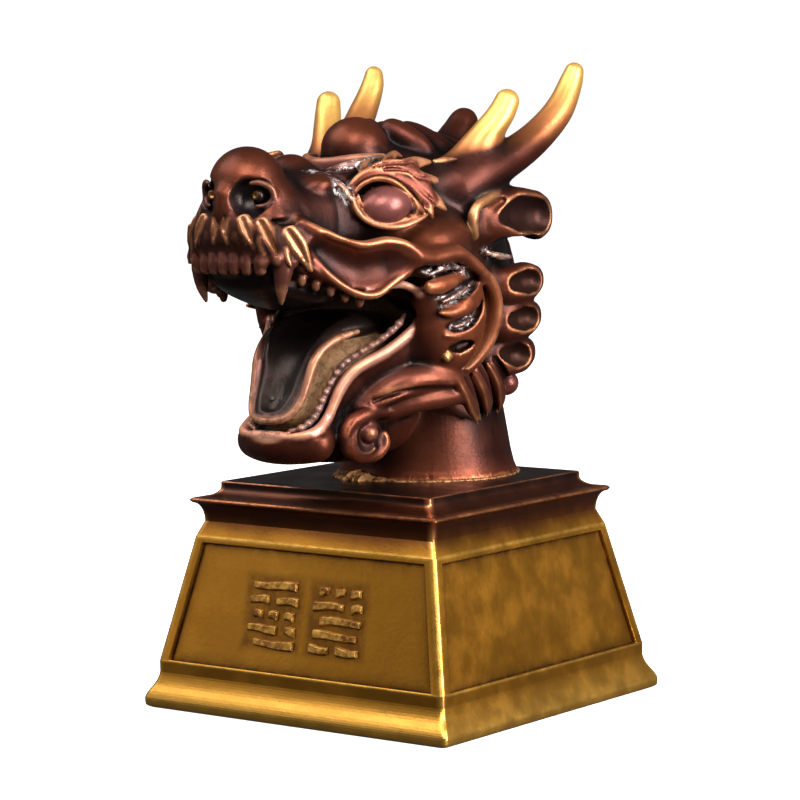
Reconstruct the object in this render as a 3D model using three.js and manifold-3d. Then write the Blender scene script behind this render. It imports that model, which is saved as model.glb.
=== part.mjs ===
// A cast dragon's head on a moulded square plinth. Millimetres, +Z up. The dragon looks along -Y,
// its own left side is +X, and the origin is the middle of the plinth's underside.
import * as THREE from "three";
import { mergeVertices } from "three/addons/utils/BufferGeometryUtils.js";
import Module from "manifold-3d";

const wasm = await Module();
wasm.setup();

// Plinth: half-widths of its square levels, and their heights above the underside
const FOOT_HALF_WIDTH = 50;
const UNDERSIDE_INSET = 1.5;
const FOOT_BULGE_HEIGHT = 2.5;
const FOOT_CORNER_RADIUS = 2.4;
const LOWER_COVE_TOP = 9;
const PANEL_FOOT_HEIGHT = 12.5;
const PANEL_FOOT_HALF_WIDTH = 47;
const SHOULDER_HEIGHT = 45.7;
const SHOULDER_HALF_WIDTH = 39.7;
const NECK_COVE_HEIGHT = 49.8;
const NECK_COVE_HALF_WIDTH = 37.9;
const FLANGE_HEIGHT = 55.7;
const FLANGE_HALF_WIDTH = 40.7;
const SLAB_FOOT_HEIGHT = 58.9;
const SLAB_HALF_WIDTH = 34.7;
const PLINTH_HEIGHT = 60.3;
const EDGE_RADIUS = 0.5;
const COVE_STEPS = 3;

// Sunk panels in the four sloping faces
const PANEL_DEPTH = 1;
const PANEL_SIDE_MARGIN = 2.8;
const PANEL_TOP_MARGIN = 1.8;
const PANEL_FOOT_MARGIN = 1.2;
const PANEL_CORNER_RADIUS = 2.2;

// Raised strokes on the front panel, in two blocks of rows
const STROKE_RELIEF = 0.8;
const STROKE_WIDTH = 2.3;
const STROKE_ROWS = 5;
const STROKE_BLOCK_WIDTH = 16;
const STROKE_BLOCK_HEIGHT = 19;
const STROKE_BLOCK_GAP = 5;
const STROKE_BLOCK_CENTRE = 28;

// Head: its height from the neck's foot to the horns' tips, and the gap to the plinth
const HEAD_HEIGHT = 110;
const SEAT_GAP = 0.3;
// Edges shorter than this close up where solids are joined or cut
const FINEST_EDGE = 0.03;

const SKIN = new THREE.MeshStandardMaterial({ color: 0x4a1a14, roughness: 0.38, metalness: 0.55 });
const GILT = new THREE.MeshStandardMaterial({ color: 0x9a6b22, roughness: 0.4, metalness: 0.7 });

// A closed three.js geometry as a solid that can be joined and cut
function solidOf(geometry) {
  const bare = geometry.clone();
  bare.deleteAttribute("normal");
  bare.deleteAttribute("uv");
  const merged = mergeVertices(bare, 1e-4);
  const made = new wasm.Manifold(
    new wasm.Mesh({
      numProp: 3,
      vertProperties: new Float32Array(merged.attributes.position.array),
      triVerts: new Uint32Array(merged.index.array),
      tolerance: FINEST_EDGE,
    }),
  );
  return made;
}

function geometryOf(solid) {
  const mesh = solid.getMesh();
  const geometry = new THREE.BufferGeometry();
  geometry.setAttribute("position", new THREE.BufferAttribute(new Float32Array(mesh.vertProperties), 3));
  geometry.setIndex(new THREE.BufferAttribute(new Uint32Array(mesh.triVerts), 1));
  const faceted = geometry.toNonIndexed();
  faceted.computeVertexNormals();
  return faceted;
}

const joined = (solids) => solids.reduce((sum, next) => sum.add(next));

// The same solid on the dragon's other side
function mirrored(solid) {
  const mesh = solid.getMesh();
  const position = Float32Array.from(mesh.vertProperties, (value, i) => (i % 3 === 0 ? -value : value));
  const turned = new Uint32Array(mesh.triVerts.length);
  for (let i = 0; i < turned.length; i += 3) {
    turned[i] = mesh.triVerts[i];
    turned[i + 1] = mesh.triVerts[i + 2];
    turned[i + 2] = mesh.triVerts[i + 1];
  }
  return new wasm.Manifold(
    new wasm.Mesh({ numProp: 3, vertProperties: position, triVerts: turned, tolerance: FINEST_EDGE }),
  );
}

const both = (solid) => solid.add(mirrored(solid));

// An egg: centre, half-sizes and turn about X, Y and Z in degrees
function egg(centre, halves, turn = [0, 0, 0], sides = 14, rings = 8) {
  const geometry = new THREE.SphereGeometry(1, sides, rings);
  geometry.rotateX(Math.PI / 2);
  geometry.scale(...halves);
  const [x, y, z] = turn.map(THREE.MathUtils.degToRad);
  geometry.applyMatrix4(new THREE.Matrix4().makeRotationFromEuler(new THREE.Euler(x, y, z, "XYZ")));
  geometry.translate(...centre);
  return solidOf(geometry);
}

// A rounded limb along a curve through points. Each point has its half-width, and where they differ
// its half-thickness towards up. The ends close as half rounds. Below 1, square makes the section boxy.
function limb(points, halves, { up = [0, 0, 1], sides = 8, rings = 10, square = 1 } = {}) {
  const route = points.map((p) => new THREE.Vector3(...p));
  const curve = new THREE.CatmullRomCurve3(route, false, "centripetal");
  const pairs = halves.map((h) => (Array.isArray(h) ? h : [h, h]));
  const length = curve.getLength();
  const capAt = [pairs[0], pairs[pairs.length - 1]].map(([a, b]) => Math.min(0.45, Math.min(a, b) / length));
  const hint = new THREE.Vector3(...up);
  const geometry = new THREE.SphereGeometry(1, sides, rings);
  const position = geometry.attributes.position;
  for (let i = 0; i < position.count; i += 1) {
    const ring = Math.floor(i / (sides + 1));
    const { t, swell } = stationOf(ring, rings, capAt);
    const at = Math.min(t * (pairs.length - 1), pairs.length - 1 - 1e-9);
    const from = Math.floor(at);
    const between = (k) => THREE.MathUtils.lerp(pairs[from][k], pairs[from + 1][k], at - from);
    const [width, thick] = [between(0), between(1)];
    const along = curve.getTangent(t);
    const across = new THREE.Vector3().crossVectors(hint, along).normalize();
    const over = new THREE.Vector3().crossVectors(along, across);
    const angle = ((i % (sides + 1)) / sides) * 2 * Math.PI;
    const place = curve.getPoint(t);
    place.addScaledVector(across, -boxed(Math.cos(angle), square) * width * swell);
    place.addScaledVector(over, boxed(Math.sin(angle), square) * thick * swell);
    position.setXYZ(i, place.x, place.y, place.z);
  }
  return solidOf(geometry);
}

const boxed = (value, square) => Math.sign(value) * Math.abs(value) ** square;

// Where a limb's ring lies along it, and how far it has swelled out of the rounded end
function stationOf(ring, rings, [startCap, endCap]) {
  const capRings = 2;
  if (ring <= capRings) {
    const turn = (ring / capRings) * (Math.PI / 2);
    return { t: startCap * (1 - Math.cos(turn)), swell: Math.sin(turn) };
  }
  if (ring >= rings - capRings) {
    const turn = ((rings - ring) / capRings) * (Math.PI / 2);
    return { t: 1 - endCap * (1 - Math.cos(turn)), swell: Math.sin(turn) };
  }
  const share = (ring - capRings) / (rings - 2 * capRings);
  return { t: startCap + share * (1 - startCap - endCap), swell: 1 };
}

// A square block built of levels: half-width, height and corner radius of each
function squareBlock(levels, cornerSteps = 1) {
  const segments = 4 * (cornerSteps + 1);
  const profile = [
    new THREE.Vector2(0, levels[0][1]),
    ...levels.map(([, height]) => new THREE.Vector2(1, height)),
    new THREE.Vector2(0, levels[levels.length - 1][1]),
  ];
  const geometry = new THREE.LatheGeometry(profile, segments);
  const position = geometry.attributes.position;
  for (let i = 0; i < position.count; i += 1) {
    const row = i % profile.length;
    const column = Math.floor(i / profile.length) % segments;
    const isAxis = row === 0 || row === profile.length - 1;
    if (isAxis) {
      position.setXYZ(i, 0, 0, profile[row].y);
      continue;
    }
    const [half, height, radius] = levels[row - 1];
    const corner = Math.floor(column / (cornerSteps + 1));
    const turn = (corner + (column % (cornerSteps + 1)) / cornerSteps) * (Math.PI / 2);
    const centre = (corner + 0.5) * (Math.PI / 2);
    const inner = (half - radius) * Math.SQRT2;
    position.setXYZ(
      i,
      Math.cos(centre) * inner + Math.cos(turn) * radius,
      Math.sin(centre) * inner + Math.sin(turn) * radius,
      height,
    );
  }
  return solidOf(geometry);
}

function plinth() {
  // A hollow quarter round between two levels, which leaves the first one upright or level
  const cove = (from, to, leavesUpright) => {
    const rows = [];
    for (let i = 1; i <= COVE_STEPS; i += 1) {
      const turn = (i / COVE_STEPS) * (Math.PI / 2);
      const [slow, fast] = [1 - Math.cos(turn), Math.sin(turn)];
      const width = THREE.MathUtils.lerp(from[0], to[0], leavesUpright ? slow : fast);
      const height = THREE.MathUtils.lerp(from[1], to[1], leavesUpright ? fast : slow);
      rows.push([width, height, EDGE_RADIUS]);
    }
    return rows;
  };
  const foot = [
    [FOOT_HALF_WIDTH - UNDERSIDE_INSET, 0, FOOT_CORNER_RADIUS],
    [FOOT_HALF_WIDTH, FOOT_BULGE_HEIGHT, FOOT_CORNER_RADIUS],
  ];
  const body = squareBlock([
    ...foot,
    ...cove([FOOT_HALF_WIDTH, FOOT_BULGE_HEIGHT], [PANEL_FOOT_HALF_WIDTH, LOWER_COVE_TOP], false),
    [PANEL_FOOT_HALF_WIDTH, PANEL_FOOT_HEIGHT, EDGE_RADIUS],
    [SHOULDER_HALF_WIDTH, SHOULDER_HEIGHT, EDGE_RADIUS],
    [NECK_COVE_HALF_WIDTH, NECK_COVE_HEIGHT, EDGE_RADIUS],
    ...cove([NECK_COVE_HALF_WIDTH, NECK_COVE_HEIGHT], [FLANGE_HALF_WIDTH, FLANGE_HEIGHT], true),
    ...cove([FLANGE_HALF_WIDTH, FLANGE_HEIGHT], [SLAB_HALF_WIDTH, SLAB_FOOT_HEIGHT], false),
    [SLAB_HALF_WIDTH, PLINTH_HEIGHT, EDGE_RADIUS],
  ]);
  const panels = [0, 1, 2, 3].map((side) => onFace(panelCut(), side));
  const strokes = strokePlaces().map((place) => onFace(stroke(place), 0));
  return joined([panels.reduce((rest, cut) => rest.subtract(cut), body), ...strokes]);
}

// Slope of the panelled faces, and a point's half-width at a height
const FACE_RISE = SHOULDER_HEIGHT - PANEL_FOOT_HEIGHT;
const FACE_LEAN = Math.atan2(PANEL_FOOT_HALF_WIDTH - SHOULDER_HALF_WIDTH, FACE_RISE);
const halfWidthAt = (height) =>
  THREE.MathUtils.lerp(PANEL_FOOT_HALF_WIDTH, SHOULDER_HALF_WIDTH, (height - PANEL_FOOT_HEIGHT) / FACE_RISE);

// Turns what is drawn flat, x across, y up the slope and z out of it, onto one of the sloping faces
function onFace(geometry, side) {
  const placed = geometry.clone();
  placed.rotateX(Math.PI / 2 - FACE_LEAN);
  placed.translate(0, -PANEL_FOOT_HALF_WIDTH, PANEL_FOOT_HEIGHT);
  placed.rotateZ((side * Math.PI) / 2);
  return solidOf(placed);
}

// The body that sinks a panel: square feet, rounded upper corners
function panelCut() {
  const foot = PANEL_FOOT_MARGIN;
  const top = FACE_RISE / Math.cos(FACE_LEAN) - PANEL_TOP_MARGIN;
  const footHalf = halfWidthAt(PANEL_FOOT_HEIGHT + PANEL_FOOT_MARGIN) - PANEL_SIDE_MARGIN;
  const topHalf = halfWidthAt(SHOULDER_HEIGHT - PANEL_TOP_MARGIN) - PANEL_SIDE_MARGIN;
  const outline = new THREE.Shape();
  outline.moveTo(-footHalf, foot);
  outline.lineTo(footHalf, foot);
  outline.lineTo(topHalf, top - PANEL_CORNER_RADIUS);
  outline.quadraticCurveTo(topHalf, top, topHalf - PANEL_CORNER_RADIUS, top);
  outline.lineTo(PANEL_CORNER_RADIUS - topHalf, top);
  outline.quadraticCurveTo(-topHalf, top, -topHalf, top - PANEL_CORNER_RADIUS);
  outline.closePath();
  const overshoot = 2 * PANEL_DEPTH;
  const geometry = new THREE.ExtrudeGeometry(outline, {
    depth: PANEL_DEPTH + overshoot,
    bevelEnabled: false,
    curveSegments: 3,
  });
  return geometry.translate(0, 0, -PANEL_DEPTH);
}

// Rows of short strokes: the shares are where each stroke starts and ends in its block's width
function strokePlaces() {
  const rows = [
    [[0.05, 0.95]],
    [[0, 0.4], [0.55, 1]],
    [[0.1, 0.3], [0.42, 0.62], [0.74, 0.95]],
    [[0, 0.62], [0.78, 1]],
    [[0.16, 1]],
  ];
  const pitch = STROKE_BLOCK_HEIGHT / STROKE_ROWS;
  const places = [];
  for (const block of [0, 1]) {
    const left = block === 0 ? -STROKE_BLOCK_GAP / 2 - STROKE_BLOCK_WIDTH : STROKE_BLOCK_GAP / 2;
    for (let row = 0; row < STROKE_ROWS; row += 1) {
      const shares = rows[(row + 2 * block) % rows.length];
      for (const [start, end] of shares) {
        places.push({
          from: left + start * STROKE_BLOCK_WIDTH,
          to: left + end * STROKE_BLOCK_WIDTH,
          up: STROKE_BLOCK_CENTRE - PANEL_FOOT_HEIGHT + ((STROKE_ROWS - 1) / 2 - row) * pitch,
        });
      }
    }
  }
  return places;
}

// One stroke, sunk a little into the panel's floor so that it is one casting with it
function stroke({ from, to, up }) {
  const bite = 0.3;
  const half = STROKE_WIDTH / 2;
  const outline = new THREE.Shape();
  outline.moveTo(from, up);
  outline.lineTo(from + half, up - half);
  outline.lineTo(to - half, up - half);
  outline.lineTo(to, up);
  outline.lineTo(to - half, up + half);
  outline.lineTo(from + half, up + half);
  outline.closePath();
  const geometry = new THREE.ExtrudeGeometry(outline, { depth: STROKE_RELIEF + bite, bevelEnabled: false });
  return geometry.translate(0, 0, -PANEL_DEPTH - bite);
}

// Neck: a flaring stump, cut flat below
function neck() {
  const profile = [[0, 0], [24.6, 0], [23.6, 2.4], [21.6, 20], [21, 32], [0, 34]];
  const sides = 18;
  const outline = profile.map(([radius, height]) => new THREE.Vector2(radius, height));
  const geometry = new THREE.LatheGeometry(outline, sides);
  geometry.rotateX(Math.PI / 2);
  const lean = new THREE.Matrix4().makeShear(0, 0, 0, 0, 0, -0.12);
  geometry.applyMatrix4(lean);
  geometry.translate(0, 12, 0);
  return solidOf(geometry);
}

// Skull, jowls and muzzle: the masses under the carving
function skull() {
  const lip = limb(
    [[12.5, -66, 66], [17.5, -57, 62], [22, -50, 58.5], [25.5, -42, 59], [28.5, -33, 60], [29.5, -24, 58]],
    [[3, 4], [3.5, 5.5], [4, 6.5], [4, 6], [4, 4.5], [3, 3.5]],
    { sides: 5, rings: 6 },
  );
  return joined([
    egg([0, -7, 63], [29, 35, 25.5], [0, 0, 0], 11, 7),
    egg([0, 6, 46], [28.5, 26, 33], [0, 0, 0], 11, 6),
    limb([[0, -26, 68], [0, -48, 69.5], [0, -72.6, 67.4]], [[25, 16.5], [17.5, 13.6], [14.4, 8.2]],
      { sides: 9, rings: 6, square: 0.85 }),
    both(egg([13, -10.5, 45], [19, 20, 20], [0, 0, 0], 8, 5)),
    both(egg([26.5, -19, 64], [6.5, 11, 5.2], [12, 0, -6], 7, 5)),
    both(egg([14.5, -31, 74.5], [10.5, 13.5, 10], [0, 0, -12], 8, 5)),
    limb(
      [[0, -66, 60.5], [0, -50, 57.5], [0, -28, 54]],
      [[13, 4], [19, 6], [25, 7]],
      { sides: 7, rings: 5, square: 0.7 },
    ),
    both(lip),
  ]);
}

function nose() {
  const bulb = egg([0, -63, 79.6], [9.7, 9.8, 9.8], [0, 0, 0], 9, 6);
  const wings = both(egg([7.2, -63.2, 76.4], [5.3, 6.8, 5.8], [0, 0, -20], 8, 5));
  const nostrils = both(egg([7.2, -72, 77.6], [4.2, 4.6, 3.2], [0, 0, 30], 7, 4));
  return bulb.add(wings).subtract(nostrils);
}

// Dome between the brows, the lobes that run back from it, and the knob at the back of the crown
function crest() {
  const lobes = [0, 1].map((i) => {
    const side = 4.4 + 7 * i;
    const drop = 1 + 3 * i;
    return both(limb(
      [
        [side * 0.7, 2 * i - 12, 93.8 - drop],
        [side, -2, 93 - drop],
        [side * 1.1, 9, 90 - drop],
        [side, 21, 86.6 - drop],
      ],
      [3.6, 4.4, 4.2, 3],
      { sides: 5, rings: 5 },
    ));
  });
  return joined([
    egg([0, -18.6, 88.6], [9.2, 9.4, 8.2], [0, 0, 0], 10, 6),
    ...lobes,
    limb([[0, 10, 84], [0, 25, 88], [0, 30.5, 92.2], [0, 33, 88]], [5, 5, 4.4, 3], { sides: 5, rings: 6 }),
    egg([0, -45.5, 82.8], [6, 6.5, 4.4], [0, 0, 0], 7, 4),
    limb(
      [[-13, -23.4, 85.6], [-7, -28.8, 83.8], [0, -30.8, 83], [7, -28.8, 83.8], [13, -23.4, 85.6]],
      [2.6, 2.9, 2.9, 2.9, 2.6],
      { sides: 4, rings: 7 },
    ),
  ]);
}

// Eyeball, lids and the flame-shaped eyebrow
function brow() {
  const ball = egg([22.3, -36.6, 74.3], [6.2, 8, 5.6], [0, 0, -25], 7, 5);
  const lower = limb(
    [[18.5, -43.4, 75.7], [20.5, -42.8, 70.9], [24, -39.1, 68.8], [27, -34.2, 69], [29, -28.4, 70.7]],
    [1, 1.2, 1.3, 1.3, 0.8],
    { sides: 3, rings: 6 },
  );
  const upper = limb(
    [[18.5, -43.3, 76.7], [21.2, -39.7, 80.3], [26.8, -34.1, 77.8], [28.8, -30.1, 72.9]],
    [0.8, 1.1, 1.1, 0.7],
    { sides: 3, rings: 6 },
  );
  const flame = limb(
    [
      [17.6, -42.6, 79.4],
      [20.4, -38.6, 82.6],
      [22.4, -33, 83.6],
      [24.4, -26, 82],
      [26.8, -22.5, 77.6],
      [28.8, -22, 72.4],
    ],
    [[1.4, 1.2], [2.4, 2.4], [3, 3.2], [3.2, 3.2], [2.6, 2.6], [1.2, 1]],
    { sides: 4, rings: 7 },
  );
  const spikes = [
    [[21, -33, 80.6], [20.8, -32, 87.4]],
    [[23.6, -28, 80], [22.2, -23.6, 88]],
    [[24, -25, 80], [27, -17, 81.8]],
    [[26, -23.5, 76], [30.2, -17.6, 75.8]],
  ].map((points) => limb(points, [3, 1], { sides: 3, rings: 4 }));
  const socket = limb(
    [[9, -44, 81], [14.5, -43.5, 79], [18, -44, 76]],
    [2.4, 2.2, 1.4],
    { sides: 4, rings: 4 },
  );
  return joined([ball, lower, upper, flame, socket, ...spikes]);
}

function horns() {
  const front = limb(
    [[19, -12, 74], [22.5, -4, 82.4], [26, 1.4, 90], [29, 6.4, 96.4], [30.6, 9.4, 102.4]],
    [6.2, 4.9, 4.2, 3.8, 3],
    { sides: 7, rings: 7 },
  );
  const rear = limb(
    [[20, -10, 74], [25.4, -1, 79.4], [28.6, 9.7, 83.8], [31, 20.4, 89.6], [33, 28.8, 97], [34, 35, 110]],
    [7.8, 6.6, 5.4, 4.8, 4.2, 2.4],
    { sides: 7, rings: 7 },
  );
  return front.add(rear);
}

// A leaf that stands off the head, scooped hollow on its outer side
function scoop(points, halves, hollow) {
  return limb(points, halves, { sides: 5, rings: 5, square: 0.85 }).subtract(egg(...hollow, 5, 4));
}

function ear() {
  return scoop(
    [[22, -8, 66.5], [28.5, 0, 68.6], [32, 11, 69.9], [31.5, 24.4, 69.4]],
    [[4, 5], [5, 6.4], [5, 6.8], [3, 4.4]],
    [[37, 9.5, 70.4], [5.6, 10.8, 4.9], [0, 0, -4]],
  );
}

// Mane: a row of scooped locks behind the jowl, a knob, pointed locks below, and plainer locks behind
function mane() {
  const row = [0, 1, 2].map((i) => {
    const height = 51.8 - 9.9 * i;
    const out = 30.4 - 1.5 * i;
    return scoop(
      [
        [22, 0, height - 1],
        [out - 1, 8, height - 0.4],
        [out, 17, height + 0.4],
        [out - 2.5, 28.5 - i, height + 1.6],
      ],
      [[3.5, 4.4], [4, 4.5], [4, 4.5], [2.2, 2.6]],
      [[out + 4.6, 14, height + 0.4], [4.6, 8, 3.3], [6, 0, -3]],
    );
  });
  const points = [
    [[26, -12, 31], [26.5, -7, 25], [24, 0.5, 17.6]],
    [[27, -4, 32], [26.5, 2, 26], [23, 7.5, 18.6]],
    [[26, 5, 33], [25, 11, 26], [21, 15.5, 18.4]],
    [[15, 22, 34], [13.5, 26.5, 26], [10.5, 28, 17]],
  ].map((route) => limb(route, [[3.4, 3], [3.6, 2.8], [0.9, 0.8]], { sides: 4, rings: 4 }));
  const back = [0, 1].map((i) => {
    const height = 64 - 17 * i;
    const side = 15 - 3 * i;
    return limb(
      [[side * 0.8, 18, height + 5], [side, 27.5, height], [side * 0.9, 30.5, height - 9]],
      [[5.4, 4.4], [6.4, 4.4], [1.8, 1.4]],
      { sides: 4, rings: 4 },
    );
  });
  const knob = egg([22.6, 17.6, 25.6], [4.4, 4.6, 4.2], [0, 0, 0], 6, 4);
  return joined([...row, knob, ...points, ...back]);
}

function jaw() {
  const square = 0.8;
  return joined([
    limb(
      [[0, -52, 13.5], [0, -44, 23.4], [0, -35.5, 30.6], [0, -27, 36.4], [0, -10, 42]],
      [[10.6, 4.5], [12.4, 7], [16.8, 8.5], [22.6, 10], [26.4, 13]],
      { sides: 8, rings: 6, square },
    ),
    limb(
      [[0, -54, 13], [0, -42, 15.4], [0, -28, 17], [0, -6, 22]],
      [[10.4, 5.4], [12.6, 8.5], [16.6, 11.5], [22, 14]],
      { sides: 8, rings: 5 },
    ),
    limb(
      [[-11, -49.6, 13.8], [0, -53, 13.4], [11, -49.6, 13.8]],
      [[4.8, 4.8], [5, 5.2], [4.8, 4.8]],
      { sides: 7, rings: 5 },
    ),
    both(limb(
      [[15, -38, 23], [19, -33, 26.5], [24, -25, 29.5], [26, -7.5, 27.5]],
      [2, 2.8, 3.2, 3],
      { sides: 4, rings: 5 },
    )),
    both(limb(
      [[15, -34, 20], [20, -26, 22.6], [23.5, -14, 23.4], [24, -4, 21]],
      [1.6, 2.2, 2.4, 2],
      { sides: 4, rings: 5 },
    )),
  ]);
}

// Side profile of the gape, y against z, cut right through from side to side
function gape() {
  const outline = new THREE.Shape();
  outline.moveTo(-90, 60);
  outline.lineTo(-66, 58);
  outline.lineTo(-43, 51.5);
  outline.quadraticCurveTo(-25, 50, -25.5, 46);
  outline.quadraticCurveTo(-26, 42.5, -31, 39);
  outline.quadraticCurveTo(-42.3, 34.5, -45.2, 29);
  outline.quadraticCurveTo(-49, 17, -56, 15.4);
  outline.lineTo(-90, 13);
  outline.closePath();
  const depth = 90;
  const geometry = new THREE.ExtrudeGeometry(outline, { depth, bevelEnabled: false, curveSegments: 3 });
  geometry.translate(0, 0, -depth / 2);
  const upright = new THREE.Matrix4().makeBasis(
    new THREE.Vector3(0, 1, 0),
    new THREE.Vector3(0, 0, 1),
    new THREE.Vector3(1, 0, 0),
  );
  return solidOf(geometry.applyMatrix4(upright));
}

// Hollows of the palate and of the lower jaw, inside the lips
function mouthHollows() {
  return joined([
    limb(
      [[0, -68, 54], [0, -55, 52.5], [0, -40, 50], [0, -20, 46]],
      [[9, 4], [12, 5], [14, 6], [13, 6]],
      { sides: 7, rings: 5 },
    ),
    limb(
      [[0, -60, 19], [0, -50, 25], [0, -42.4, 33], [0, -34, 41], [0, -20, 46]],
      [[7.6, 4.5], [8.6, 5.5], [12.2, 7], [18.4, 8], [15, 7]],
      { sides: 8, rings: 6 },
    ),
  ]);
}

function tongue() {
  const blade = limb(
    [[0, -56.4, 18.6], [0, -53, 25], [0, -49.6, 33], [0, -44.5, 40], [0, -35, 43.6], [0, -18, 42]],
    [[5, 3.4], [6.8, 4.4], [8, 4.6], [9.8, 4.6], [13, 4.6], [14, 4.6]],
    { sides: 8, rings: 7 },
  );
  const root = limb(
    [[0, -50, 17], [0, -43, 25], [0, -35, 33.5], [0, -20, 39]],
    [[6, 5], [7.4, 6], [11, 7], [16, 7]],
    { sides: 6, rings: 5 },
  );
  return blade.add(root);
}

function teeth() {
  const count = 7;
  const half = 10;
  const upper = [];
  for (let i = 0; i < count; i += 1) {
    const share = (2 * i) / (count - 1) - 1;
    const side = half * share;
    const front = -72.6 + 2.2 * share * share;
    upper.push(limb(
      [[side, front + 1, 63], [side, front, 60], [side, front + 0.2, 57.4]],
      [[1.7, 1.4], [1.7, 1.4], [1.3, 1]],
      { up: [0, -1, 0], sides: 4, rings: 4 },
    ));
  }
  const fang = both(limb(
    [[13, -65, 62], [13, -65.6, 57], [12.3, -65.4, 50.4]],
    [[2.8, 2.6], [2.3, 2.1], [0.5, 0.5]],
    { up: [0, -1, 0], sides: 4, rings: 5 },
  ));
  const gum = both(limb(
    [
      [6.4, -52, 16.9],
      [8.6, -49, 19.4],
      [9.6, -45.2, 24.2],
      [11, -42, 29],
      [14, -38.6, 34.6],
      [19.2, -31, 40.4],
      [22, -26.6, 45],
    ],
    [1, 1.2, 1.3, 1.4, 1.5, 1.5, 1.2],
    { sides: 3, rings: 8 },
  ));
  const ridge = limb(
    [[-13.5, -64, 62.8], [-10.4, -69.4, 63.2], [0, -71, 63.4], [10.4, -69.4, 63.2], [13.5, -64, 62.8]],
    [3, 3.4, 3.2, 3.4, 3],
    { sides: 4, rings: 7 },
  );
  return joined([...upper, ridge, fang, gum]);
}

// Rolled rim of the lower lip, from the chin to the corners of the mouth
function lowerLip() {
  const rim = limb(
    [
      [-2, -55, 15.8],
      [5, -54, 15.4],
      [8.8, -50.8, 16.4],
      [10.4, -47.9, 19.6],
      [11.6, -43.4, 27],
      [14.6, -39.8, 33],
      [21.4, -29.6, 38.6],
      [24.8, -24.8, 43.2],
      [25.4, -25, 48.6],
    ],
    [1.4, 1.5, 1.6, 1.8, 2, 2, 2, 1.9, 1.4],
    { sides: 4, rings: 10 },
  );
  return both(rim);
}

// Leaf tufts of the moustache, wrapped round the upper lip
function moustache() {
  const leaf = (top, low, wide) => limb(
    [top, top.map((v, k) => (v + low[k]) / 2 + [0, -0.4, 0][k]), low],
    [[wide * 0.6, 1.2], [wide, 1.5], [0.6, 0.8]],
    { up: [top[0] * 0.8, -10, 0], sides: 4, rings: 4 },
  );
  const band = limb(
    [[-14.4, -62, 66.4], [-12.8, -69.4, 67.8], [0, -73, 68.8], [12.8, -69.4, 67.8], [14.4, -62, 66.4]],
    [[2, 4], [2, 4.2], [1.8, 4], [2, 4.2], [2, 4]],
    { sides: 4, rings: 8 },
  );
  return joined([
    band,
    leaf([-0.8, -73.6, 73], [1, -74.2, 64.4], 3),
    both(leaf([6.2, -73.2, 72.8], [8.8, -72.8, 63.4], 3.1)),
    both(leaf([12, -70.6, 71.6], [14.4, -68.4, 60.6], 3.2)),
    both(leaf([14.6, -64.6, 69.6], [17.6, -60, 58.4], 3.2)),
  ]);
}

// The raised edges that run along the cheek, and the rim behind the jowl
function cheekEdges() {
  const upper = limb(
    [
      [15, -61.5, 71],
      [19.4, -56.5, 67.2],
      [25, -48.8, 63.9],
      [27.6, -41.3, 64.9],
      [29.8, -34.6, 63.5],
      [31.6, -27.5, 60.2],
      [32.8, -20, 60.4],
      [33.4, -12, 58.4],
    ],
    [1.2, 1.8, 2, 2, 2, 2, 2, 2],
    { sides: 4, rings: 10 },
  );
  const lower = limb(
    [
      [15.5, -61, 65.6],
      [17.6, -57.3, 60.2],
      [22.2, -51.5, 53.6],
      [24.6, -48, 51.8],
      [26.2, -43.5, 52.4],
      [30, -33, 58.2],
    ],
    [0.9, 1.3, 1.5, 1.5, 1.5, 0.8],
    { sides: 4, rings: 8 },
  );
  const rim = limb(
    [
      [33, -12, 58],
      [32.6, -3.6, 52],
      [31.4, -0.4, 44.3],
      [30.2, -1.2, 39],
      [28.4, -4, 33],
      [25.6, -9.5, 28.4],
    ],
    [2.2, 2.4, 2.5, 2.5, 2.3, 1.8],
    { sides: 4, rings: 7 },
  );
  return joined([upper, lower, rim]);
}

// Leaf cuts in the jowl and the channel inside its rim
function jowlCuts() {
  const leaf = (points, deep) => limb(points, [[1.2, 0.8], [deep, 1.7], [1.2, 0.7]], { sides: 4, rings: 4 });
  return joined([
    leaf([[29.6, -27.6, 53.4], [32, -21.6, 55.4], [32.4, -13.6, 54.4]], 2.4),
    leaf([[30, -23.4, 47.2], [32, -16.6, 50.4], [32, -9.6, 52]], 2.6),
    leaf([[29.6, -20.6, 42], [31.6, -14.6, 45], [31.4, -8.6, 46.4]], 2.6),
    leaf([[28, -17.6, 35.4], [29.6, -12.6, 38], [29.4, -8.4, 39.6]], 2.2),
    limb(
      [[33.6, -9.8, 54], [33.4, -5.4, 49.6], [32.6, -4.2, 43.5], [31.2, -5.6, 37.6], [29, -9.6, 31.8]],
      [2, 3.2, 3.4, 3.2, 2],
      { sides: 4, rings: 6 },
    ),
  ]);
}

// Curl of beard under the jaw, with its knob
function beard() {
  const curl = limb(
    [
      [19, -24, 19.6],
      [16, -36.7, 21.4],
      [14.4, -42.4, 18.8],
      [14, -42.6, 13.4],
      [14.5, -37.9, 9],
      [16.5, -31.6, 10],
      [17, -30.2, 14.4],
    ],
    [2.6, 2.6, 2.4, 2.3, 2.3, 2.1, 1.4],
    { up: [1, -0.6, 0], sides: 4, rings: 7 },
  );
  return curl.add(egg([16, -36.8, 15.6], [2.8, 3, 2.9], [0, 0, 0], 7, 4));
}

function dragonHead() {
  const cuts = jowlCuts();
  const mass = joined([neck(), skull(), jaw(), both(mane())]).subtract(gape()).subtract(mouthHollows());
  const carving = joined([brow(), horns(), ear(), cheekEdges(), beard()]);
  const carved = mass.subtract(both(cuts)).add(both(carving));
  return joined([carved, crest(), nose(), tongue(), teeth(), lowerLip(), moustache()]);
}

const head = dragonHead();

const part = new THREE.Group();
const headMesh = new THREE.Mesh(geometryOf(head), SKIN);
headMesh.name = "dragon_head";
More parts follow.
